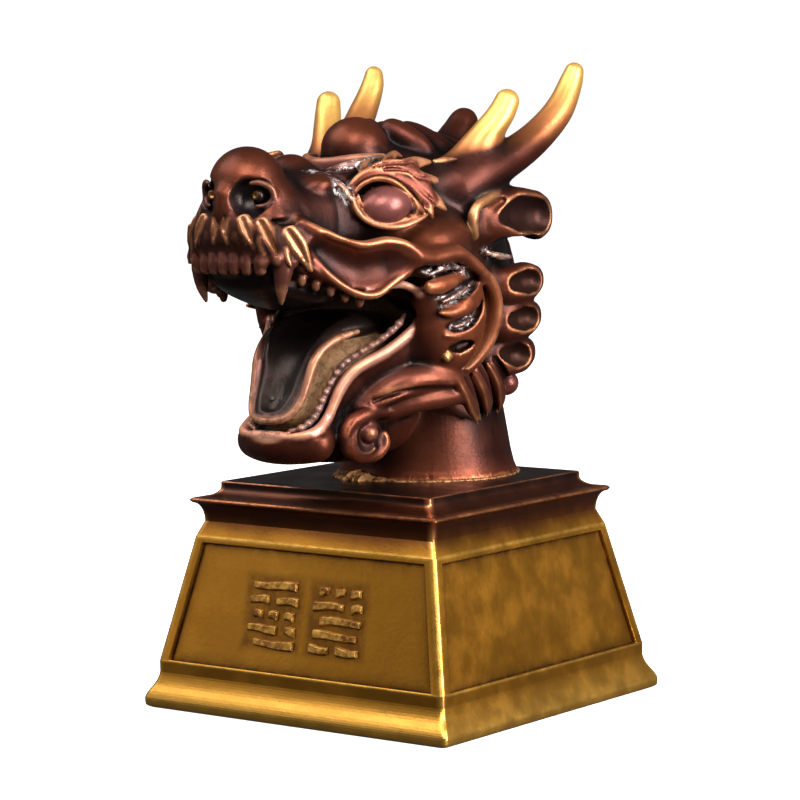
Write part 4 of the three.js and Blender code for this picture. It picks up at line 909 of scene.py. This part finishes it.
def under_jaw():
    """Two long folds under the jaw, and the curl of beard beside the chin"""
    add(roll([(12.6, -37, 20.4, 2.4, 2.4), (15.6, -34, 23.4, 3.2, 3), (18.6, -30.8, 26.2, 3.6, 3.4),
              (22, -26.4, 28.2, 3.6, 3.6), (24.6, -21.4, 28.8, 3.4, 3.4), (26.4, -16.4, 28.4, 3, 3),
              (27.2, -12, 28, 2.4, 2.4)], steps=6), 2.4, "fold")
    add(roll([(12.4, -31, 18.6, 2.4, 2.4), (17, -27, 21.4, 3.4, 3.2), (21, -21.6, 23, 3.8, 3.2),
              (23.8, -15.6, 23.6, 3.8, 3.2), (25.4, -10.6, 23.8, 3.4, 2.8), (25.2, -5.6, 23, 2.4, 2.2)],
             steps=6), 2.0, "fold")
    press(roll([(17.6, -35.6, 23.6, 0.4), (21.6, -30.6, 25.8, 0.8), (25.4, -25, 26, 1),
                (27.8, -18.6, 25.8, 0.9), (28.4, -12.6, 25.6, 0.5)], steps=6), 1.3, "dark")
    add(egg([15.6, -36.6, 14.6], [3.4, 5.6, 5.4], [0, 0, -8]), 1.6)
    add(roll([(19, -20, 20.4, 1.2, 1.2), (17.4, -30, 20.6, 1.6, 1.6), (16.4, -36.6, 20.4, 2, 2),
              (15, -41.4, 18.6, 2, 1.9), (14.2, -43, 15.4, 2, 1.8), (14.2, -41.4, 11.6, 2, 1.8),
              (15, -37.4, 9.4, 2, 1.8), (16.6, -32.8, 10, 2, 1.8), (17.4, -30.6, 12.6, 1.7, 1.6),
              (17.4, -31, 15.6, 1, 1)]), 1.0)
    press(egg([18.6, -38.6, 14.4], [2.6, 3.4, 4.2]), 0.5, "dark ochre")
    press(egg([19.4, -34, 14.2], [2.0, 2.6, 3.6]), 0.6, "dark")
    add(egg([16.6, -36.4, 15.6], [2.7, 2.7, 2.6]), 0.3, "rose lump")


for modelled in (masses, lower_jaw, gape, palate, tongue, jowl, gums_and_lips, cheeks, crown, horns, nose,
                 muzzle_teeth, moustache, eyes, ear, mane, nape_locks, under_jaw, beard_tufts):
    modelled()
# nothing reaches under the neck's foot
clay = np.maximum(clay, -rulers[2])


def at_places(field, places):
    """The field's value at each place, read between its cells"""
    steps = (places - CLAY_LOW) / CELL
    first = np.clip(np.floor(steps).astype(int), 0, np.array(field.shape) - 2)
    share = np.clip(steps - first, 0, 1)
    total = np.zeros(len(places))
    for corner in np.ndindex(2, 2, 2):
        weight = np.prod(np.where(corner, share, 1 - share), axis=1)
        total += weight * field[tuple((first + corner).T)]
    return total


def blurred(field, reach):
    """The field averaged twice over a box of cells that reaches so far each way"""
    width = 2 * reach + 1
    for k in (0, 1, 2, 0, 1, 2):
        pad = [(0, 0)] * 3
        pad[k] = (reach + 1, reach)
        total = np.cumsum(np.pad(field, pad, mode="edge"), axis=k, dtype=np.float64)
        far_side = np.take(total, np.arange(width, total.shape[k]), axis=k)
        near_side = np.take(total, np.arange(0, total.shape[k] - width), axis=k)
        field = ((far_side - near_side) / width).astype(np.float32)
    return field


# the half is mirrored, and its surface becomes the casting's mesh
CAST_TRIANGLES = 190_000
half = clay[2:]
whole = openvdb.FloatGrid(FAR)
whole.copyFromArray(np.ascontiguousarray(np.concatenate([half[::-1], half])))
points, quads = whole.convertToQuads(0.0)
points = points.astype(float) * CELL + np.array([-(len(half) - 0.5) * CELL, CLAY_LOW[1], CLAY_LOW[2]])
points = (points * MM + np.array([0, 0, head_low.z])).astype(np.float32)
rough_mesh = bpy.data.meshes.new("cast surface")
rough_mesh.vertices.add(len(points))
rough_mesh.vertices.foreach_set("co", points.ravel())
rough_mesh.loops.add(quads.size)
rough_mesh.loops.foreach_set("vertex_index", quads[:, ::-1].astype(np.int32).ravel())
rough_mesh.polygons.add(len(quads))
rough_mesh.polygons.foreach_set("loop_start", np.arange(0, quads.size, 4, dtype=np.int32))
rough_mesh.update(calc_edges=True)
rough = bpy.data.objects.new("cast surface", rough_mesh)
bpy.context.scene.collection.objects.link(rough)
thin = rough.modifiers.new("fewer faces", "DECIMATE")
thin.ratio = min(1.0, CAST_TRIANGLES / (2 * len(quads)))
thin.use_collapse_triangulate = True
cast_mesh = bpy.data.meshes.new_from_object(rough.evaluated_get(bpy.context.evaluated_depsgraph_get()))
bpy.data.objects.remove(rough)
cast_mesh.name = "dragon_casting"
cast_mesh.shade_smooth()

# what the finish needs to know of each point of the casting: how hollow or proud it is, and which
# parts were brushed gold, ochre, black or rose
places = np.zeros(len(cast_mesh.vertices) * 3, np.float32)
cast_mesh.vertices.foreach_get("co", places)
places = (places.reshape(-1, 3) - np.array([0, 0, head_low.z])) / MM
places[:, 0] = np.abs(places[:, 0])


def paint(name, values):
    """Give the casting's points values from 0 to 1 that its finish reads"""
    layer = cast_mesh.attributes.new(name, "FLOAT", "POINT")
    layer.data.foreach_set("value", np.clip(values, 0, 1).astype(np.float32))


def nearness(shapes, reach):
    """1 on a shape's surface, falling to 0 at a distance from it"""
    gap = np.full(len(places), FAR)
    for low, high, outside in shapes:
        inside = np.all((places > low - reach) & (places < high + reach), axis=1)
        if inside.any():
            gap[inside] = np.minimum(gap[inside], outside(*places[inside].T))
    return np.clip(1 - gap / reach, 0, 1)


# averaged over the cells round a point, the distance comes out over 0 on an edge and under 0 in a crease
FULL_FINE_CURVE, FULL_BROAD_CURVE = 0.28, 2.0
fine_curve = at_places(blurred(np.clip(clay, -1.5, 1.5), 2), places)
broad_curve = at_places(blurred(np.clip(clay, -4, 4), 6), places)
paint("proud", fine_curve / FULL_FINE_CURVE)
paint("hollow", -fine_curve / FULL_FINE_CURVE)
paint("swelling", 0.5 + broad_curve / FULL_BROAD_CURVE)

# the colours that were brushed on: each is laid over a piece of the modelling, and fades at its edge.
# A row holds the colour, how far it spreads, how thickly it covers, how metallic and rough it is, and
# how much of the bright rubbed edge, which is partly a painted highlight, shows on it
BRUSHED = {"ochre": ((0.34, 0.175, 0.075), 1.6, 0.95, 0.1, 0.55, 0.3),
           "dark ochre": ((0.016, 0.006, 0.004), 1.2, 0.95, 0.8, 0.5, 0.25),
           "cup": ((0.032, 0.012, 0.008), 0.7, 0.95, 0.85, 0.5, 0.5),
           "channel": ((0.20, 0.085, 0.03), 0.5, 0.8, 0.4, 0.45, 0.8),
           "ear hollow": ((0.032, 0.013, 0.010), 0.9, 0.95, 0.85, 0.45, 0.4),
           "dark": ((0.010, 0.005, 0.004), 0.7, 0.95, 0.85, 0.4, 0.3),
           "groove": ((0.012, 0.005, 0.004), 0.5, 0.95, 0.8, 0.4, 0.2),
           "ink": ((0.016, 0.012, 0.012), 0.9, 0.97, 0.7, 0.30, 0.0),
           "ridge": ((0.36, 0.10, 0.042), 0.6, 0.5, 0.6, 0.38, 1.0),
           "fold": ((0.17, 0.042, 0.022), 0.5, 0.5, 0.6, 0.38, 0.5),
           "rose ridge": ((0.34, 0.085, 0.05), 0.6, 0.65, 0.6, 0.38, 0.8),
           "lobe": ((0.28, 0.07, 0.025), 0.6, 0.8, 0.6, 0.38, 0.5),
           "rose lump": ((0.13, 0.035, 0.026), 0.8, 0.8, 0.5, 0.36, 0.5),
           "rose band": ((0.22, 0.075, 0.06), 0.8, 0.8, 0.5, 0.4, 0.5),
           "ear wall": ((0.11, 0.028, 0.012), 0.9, 0.9, 0.7, 0.38, 0.8),
           "ochre edge": ((0.50, 0.24, 0.09), 0.7, 0.8, 0.7, 0.38, 0.6),
           "dark rose": ((0.045, 0.012, 0.008), 0.35, 0.9, 0.4, 0.42, 0.3),
           "flame": ((0.135, 0.034, 0.020), 0.35, 0.85, 0.7, 0.4, 0.7),
           "eyeball": ((0.20, 0.064, 0.055), 0.35, 0.95, 0.5, 0.34, 0.0),
           "rose edge": ((0.36, 0.125, 0.065), 0.45, 0.8, 0.6, 0.38, 0.5),
           "copper edge": ((0.32, 0.10, 0.04), 0.45, 0.8, 0.7, 0.38, 0.6),
           "ring": ((0.12, 0.045, 0.035), 0.4, 0.8, 0.5, 0.4, 0.2),
           "teeth": ((0.085, 0.026, 0.018), 0.5, 0.9, 0.4, 0.32, 0.25),
           "tufts": ((0.46, 0.19, 0.09), 0.25, 0.85, 0.7, 0.36, 0.9),
           "tongue rim": ((0.15, 0.06, 0.05), 0.4, 0.85, 0.4, 0.36, 0.7),
           "rose": ((0.17, 0.10, 0.095), 0.45, 0.9, 0.3, 0.34, 0.4),
           "rose lip": ((0.70, 0.31, 0.22), 0.45, 0.85, 0.45, 0.38, 0.8),
           "tuft faces": ((0.12, 0.034, 0.022), 0.5, 0.5, 0.6, 0.4, 0.5),
           "gilt dot": ((0.40, 0.20, 0.07), 0.4, 0.9, 0.8, 0.36, 0.3),
           "silver_and_glint": ((0.16, 0.10, 0.095), 0.5, 0.75, 0.6, 0.36, 0.4)}
BARE_COLOUR, BARE_METALLIC, BARE_ROUGHNESS, BARE_EDGE = (0.1, 0.03, 0.02), 0.7, 0.38, 0.75
tint = np.tile(np.array(BARE_COLOUR, np.float32), (len(places), 1))
laid = np.zeros(len(places))
metal = np.full(len(places), BARE_METALLIC)
rough = np.full(len(places), BARE_ROUGHNESS)
edging = np.full(len(places), BARE_EDGE)
for name, (colour, reach, cover, metallic, roughness, edge) in BRUSHED.items():
    share = cover * nearness(painted_shapes[name], reach)
    tint += (np.array(colour) - tint) * share[:, None]
    laid = np.maximum(laid * (1 - share), share)
    metal += (metallic - metal) * share
    rough += (roughness - rough) * share
    edging += (edge - edging) * share
# the mouth's ochre darkens towards the throat: painted shade deep in the mouth
throat = nearness(painted_shapes["ochre"], 1.6) * np.clip((places[:, 2] - 40) / 12, 0, 1)
tint *= (1 - 0.3 * throat * (laid > 0.5))[:, None]
hue = cast_mesh.attributes.new("tint", "FLOAT_COLOR", "POINT")
hue.data.foreach_set("color", np.hstack([tint, np.ones((len(places), 1))]).astype(np.float32).ravel())
paint("laid", laid)
paint("metal", metal)
paint("rough", rough)
paint("edging", edging)
paint("silver_and_glint", nearness(painted_shapes["silver_and_glint"], 1.6))
paint("grainy", nearness(painted_shapes["ochre"], 1.6) * (1 - nearness(painted_shapes["ink"], 1.0)))
front_gilding = np.clip((places[:, 2] - 80) / 19, 0, 1)
rear_gilding = np.clip((places[:, 2] - 85) / 24, 0, 1)
paint("gilding", nearness(painted_shapes["front horn"], 1.2) * front_gilding
      + nearness(painted_shapes["rear horn"], 1.2) * rear_gilding)
# where hands have rubbed the lacquer thin and where light falls, a painted highlight, and under 0 where it
# stayed thick and lies in shade, a painted shade: a middle, how far it reaches each way, and how strongly
RUBBED_AND_PAINTED_LIGHT = (((8, -70, 84), (9, 8, 7), 0.7), ((26, -24, 63), (7, 13, 7), 1.0),
          ((30, -16, 40), (8, 14, 16), 0.75), ((0, -24, 93), (7, 8, 5), 0.45),
          ((33, -8, 52), (5, 10, 14), 0.6), ((22, -26, 27), (10, 12, 5), 0.35),
          ((14, -12, 10), (10, 14, 16), 0.45), ((24, -46, 62), (8, 14, 9), -0.5),
          ((12, -46, 8), (14, 12, 10), -0.8), ((8, 8, 88), (14, 16, 12), -0.5),
          ((22, -26, 34), (8, 10, 7), -0.7), ((20, 30, 60), (30, 16, 40), -0.3))
paint("rubbed_and_painted_light", sum(strength * np.exp(-(((places - np.array(centre)) / np.array(reach)) ** 2).sum(1))
                    for centre, reach, strength in RUBBED_AND_PAINTED_LIGHT))

# bronze colour: a dark maroon lacquer over copper, rubbed through to copper and pink on whatever
# stands proud, partly as painted highlight, and near black in the hollows, as patina and painted shade
maroon_black, dark_maroon = (0.011, 0.0046, 0.0042), (0.056, 0.0125, 0.0068)
copper_rub_and_highlight, hollow_patina_and_shade = (0.20, 0.049, 0.019), (0.007, 0.004, 0.0035)
red_gold, bright_gold = (0.44, 0.15, 0.05), (0.72, 0.40, 0.10)
bare_copper, pink_copper = (0.40, 0.12, 0.052), (0.66, 0.30, 0.14)
umber, silver_and_glint_speck = (0.07, 0.032, 0.012), (0.75, 0.68, 0.66)
bronze = Finish("maroon bronze patina")
proud, hollow, swelling = bronze.painted("proud"), bronze.painted("hollow"), bronze.painted("swelling")
laid, edging, rubbed_and_painted_light = bronze.painted("laid"), bronze.painted("edging"), bronze.painted("rubbed_and_painted_light")
gilding, grainy, silver_and_glint = bronze.painted("gilding"), bronze.painted("grainy"), bronze.painted("silver_and_glint")
cloud = bronze.noise(34.0, 4.0)
mottle = bronze.noise(210.0, 5.0, 0.7)
speck = bronze.noise(620.0, 4.0, 0.75)
fine = bronze.noise(1500.0, 3.0, 0.6)
# darker maroon in broad hollows and lighter on broad swellings: painted shade and painted highlight
soft = bronze.plus(swelling, bronze.times(cloud, 0.5))
body = bronze.mix(bronze.ramp(soft, 0.55, 1.05), maroon_black, dark_maroon)
# copper where the lacquer is rubbed, on broad swellings and where light falls: wear with painted highlight
warmth_and_highlight = bronze.plus(rubbed_and_painted_light, bronze.ramp(soft, 0.85, 1.35, 0.0, 0.35))
body = bronze.mix(bronze.times(warmth_and_highlight, bronze.ramp(cloud, 0.25, 0.7, 0.6, 1.0)), body, copper_rub_and_highlight)
# near black in the fine hollows: patina together with painted shade
deep = bronze.ramp(bronze.plus(hollow, bronze.times(mottle, 0.3)), 0.35, 0.85)
body = bronze.mix(deep, body, hollow_patina_and_shade)
brushed = bronze.times(laid, bronze.ramp(mottle, 0.25, 0.5, 0.7, 1.0))
body = bronze.mix(brushed, body, bronze.painted("tint", "Color"))
gold_leaf = bronze.mix(bronze.ramp(gilding, 0.35, 0.95), red_gold, bright_gold)
body = bronze.mix(bronze.ramp(gilding, 0.05, 0.5), body, gold_leaf)

# the bright edges, worn in patches and partly painted highlight, the grain of the ochre, and the
# specks of silver, which are partly painted glints
edge = bronze.ramp(bronze.plus(proud, bronze.times(mottle, 0.7)), 0.95, 1.45)
patchy = bronze.ramp(bronze.noise(85.0, 3.0, 0.6), 0.38, 0.62, 0.4, 1.0)
worn_and_highlight = bronze.times(bronze.times(edge, bronze.times(edging, patchy)), bronze.less(1.0, gilding))
body = bronze.mix(worn_and_highlight, body, bronze.mix(laid, bare_copper, pink_copper))
body = bronze.mix(bronze.times(grainy, bronze.ramp(speck, 0.46, 0.60, 0.0, 0.6)), body, umber)
# pale silver specks on the threads and wrinkles, partly painted glints
specks = bronze.times(bronze.ramp(speck, 0.50, 0.60), bronze.times(silver_and_glint, 0.65))
body = bronze.mix(specks, body, silver_and_glint_speck)
grain = bronze.times(grainy, bronze.times(speck, 7.0))
relief = bronze.plus(grain, bronze.plus(fine, bronze.times(mottle, 2.0)))
bronze.wire(Base_Color=body, Metallic=bronze.painted("metal"), Specular_IOR_Level=0.25,
            Roughness=bronze.plus(bronze.painted("rough"), bronze.ramp(mottle, 0.3, 0.75, -0.04, 0.08)),
            Normal=bronze.bump(relief, 0.07 * MM, 0.6))
cast_mesh.materials.clear()
cast_mesh.materials.append(bronze.material)
head = bpy.data.objects.new("dragon_casting", cast_mesh)
bpy.context.scene.collection.objects.link(head)
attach(head, "root")
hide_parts("dragon_head")

# Where the neck was set down on the slab a rough bead of gold-coloured filler squeezed out: a thin
# line round most of the neck, and a wider crumbly lump under the jaw that nobody trimmed.
FILLER_LUMP_ANGLE, FILLER_LUMP_SPREAD = math.radians(-106), math.radians(30)
FILLER_LINE, FILLER_LUMP = 0.55 * MM, 5.0 * MM
FILLER_LUMP_HEIGHT, FILLER_GRIT, FILLER_LIFT = 1.7 * MM, 0.12 * MM, 0.01 * MM
NECK_FOOT = Vector((0.0, 12.0 * MM, PLINTH_TOP))
NECK_FOOT_RADIUS = 24.4 * MM
# crumbs along the bead: how many times each wave runs round the neck, over what part of the thickness
CRUMBS = ((13, 4.0), (37, 4.0), (91, 6.0), (173, 7.0))
filler = bmesh.new()
first_place = Matrix.Translation(NECK_FOOT + Vector((NECK_FOOT_RADIUS, 0, 0)))
bead = bmesh.ops.create_circle(filler, cap_ends=False, segments=10, radius=1.0 * MM,
                               matrix=first_place @ Matrix.Rotation(math.pi / 2, 4, "X"))["verts"]
bmesh.ops.spin(filler, geom=bead + list({edge for v in bead for edge in v.link_edges}), cent=NECK_FOOT,
               axis=(0, 0, 1), angle=math.tau, steps=360, use_merge=True, use_duplicate=False)
bmesh.ops.remove_doubles(filler, verts=filler.verts[:], dist=MM / 10_000)
for v in filler.verts:
    offset = v.co - NECK_FOOT
    angle = math.atan2(offset.y, offset.x)
    away = Vector((math.cos(angle), math.sin(angle), 0))
    gap = abs((angle - FILLER_LUMP_ANGLE + math.pi) % math.tau - math.pi)
    lump = math.exp(-(gap / FILLER_LUMP_SPREAD) ** 2 * 2)
    crumbs = sum(math.sin(angle * n + n * n) / part for n, part in CRUMBS)
    wide = FILLER_LINE * (1 + 0.45 * crumbs) + (FILLER_LUMP - FILLER_LINE) * lump * (1 + 0.35 * crumbs)
    tall = FILLER_LINE * 0.8 * (1 + 0.35 * crumbs) + FILLER_LUMP_HEIGHT * lump * (1 + 0.4 * crumbs)
    outwards, upwards = (offset - away * NECK_FOOT_RADIUS).dot(away) / MM, max(offset.z / MM, 0.0)
    grit = FILLER_GRIT * math.sin(angle * 311 + upwards * 7 + outwards * 5) * lump
    height = FILLER_LIFT + upwards * tall + grit * upwards
    v.co = NECK_FOOT + away * (NECK_FOOT_RADIUS + outwards * wide) + Vector((0, 0, height))
bmesh.ops.recalc_face_normals(filler, faces=filler.faces[:])

rough_filler = Finish("rough gold filler")
crumb = rough_filler.noise(700.0, 4.0, 0.7)
smear = rough_filler.noise(160.0, 3.0)
tone = rough_filler.mix(rough_filler.ramp(crumb, 0.35, 0.62), (0.06, 0.02, 0.008), (0.42, 0.20, 0.075))
tone = rough_filler.mix(rough_filler.ramp(smear, 0.55, 0.75, 0.0, 0.6), tone, (0.10, 0.028, 0.014))
rough_filler.wire(Base_Color=tone, Metallic=0.5, Roughness=0.45, Specular_IOR_Level=0.3,
                  Normal=rough_filler.bump(crumb, 0.15 * MM, 0.8))
filler_bead = finished_piece("gold_filler_bead", filler, rough_filler.material, smooth_angle=60)
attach(filler_bead, "root")

# The studio: a white floor that glows and runs out to the horizon under a white sky that lights the
# piece only faintly, soft lights over the camera, high at the left, low at the left and at the right,
# and the camera that took the photograph.
studio_floor = bmesh.new()
bmesh.ops.create_grid(studio_floor, x_segments=1, y_segments=1, size=12.0)
pale = Finish("pale floor")
pale.wire(Base_Color=(0.86, 0.86, 0.86, 1.0), Roughness=0.7, Specular_IOR_Level=0.2,
          Emission_Color=(1.0, 1.0, 1.0, 1.0), Emission_Strength=1.0)
floor = finished_piece("studio_floor", studio_floor, pale.material)
floor.visible_diffuse = floor.visible_glossy = False

world = bpy.data.worlds.new("studio")
bpy.context.scene.world = world
world.use_nodes = True
background = world.node_tree.nodes["Background"]
background.inputs["Color"].default_value = (1.0, 1.0, 1.0, 1.0)
seen = world.node_tree.nodes.new("ShaderNodeLightPath")
strength = world.node_tree.nodes.new("ShaderNodeMapRange")
strength.inputs["To Min"].default_value, strength.inputs["To Max"].default_value = 0.075, 1.05
world.node_tree.links.new(seen.outputs["Is Camera Ray"], strength.inputs["Value"])
world.node_tree.links.new(strength.outputs["Result"], background.inputs["Strength"])


def soft_light(name, place, size, power):
    """A rectangular light of a power in watts that is turned to the head"""
    lamp = bpy.data.lights.new(name, "AREA")
    lamp.shape = "RECTANGLE"
    lamp.size, lamp.size_y = size
    lamp.energy = power
    holder = bpy.data.objects.new(name, lamp)
    holder.location = place
    holder.rotation_euler = (HEAD_MIDDLE - Vector(place)).to_track_quat("-Z", "Y").to_euler()
    bpy.context.scene.collection.objects.link(holder)


HEAD_MIDDLE = Vector((0.0, -0.01, 0.10))
soft_light("light over the camera", (0.50, -0.62, 0.85), (0.6, 0.6), 14)
soft_light("light high at the left", (-0.45, -0.52, 0.92), (1.0, 0.8), 11)
soft_light("light at the left", (-0.75, -0.7, 0.25), (0.4, 0.3), 0.5)
soft_light("light at the right", (0.95, 0.05, 0.35), (0.35, 0.8), 23.5)

# the camera was fitted to the plinth's corners in the photograph
CAMERA_PLACE = (0.49618, -0.66231, 0.16142)
CAMERA_AHEAD = (-0.59674, 0.79655, -0.09699)
CAMERA_RIGHT = (0.80096, 0.59861, -0.01181)
CAMERA_UP = (-0.04865, 0.08473, 0.99522)
PHOTO_WIDTH, FOCAL_LENGTH, SHIFT_X, SHIFT_Y = 800, 3097.31, -0.804, -0.010
SENSOR_WIDTH = 36.0
camera = bpy.data.cameras.new("photo camera")
camera.sensor_width = SENSOR_WIDTH
camera.lens = SENSOR_WIDTH * FOCAL_LENGTH / PHOTO_WIDTH
camera.shift_x, camera.shift_y = SHIFT_X / PHOTO_WIDTH, SHIFT_Y / PHOTO_WIDTH
camera.clip_start, camera.clip_end = 0.05, 50.0
holder = bpy.data.objects.new("photo camera", camera)
axes = Matrix((CAMERA_RIGHT, CAMERA_UP, [-v for v in CAMERA_AHEAD])).transposed()
holder.matrix_world = Matrix.Translation(CAMERA_PLACE) @ axes.to_4x4()
bpy.context.scene.collection.objects.link(holder)
bpy.context.scene.camera = holder
bpy.context.scene.view_settings.view_transform = "Standard"
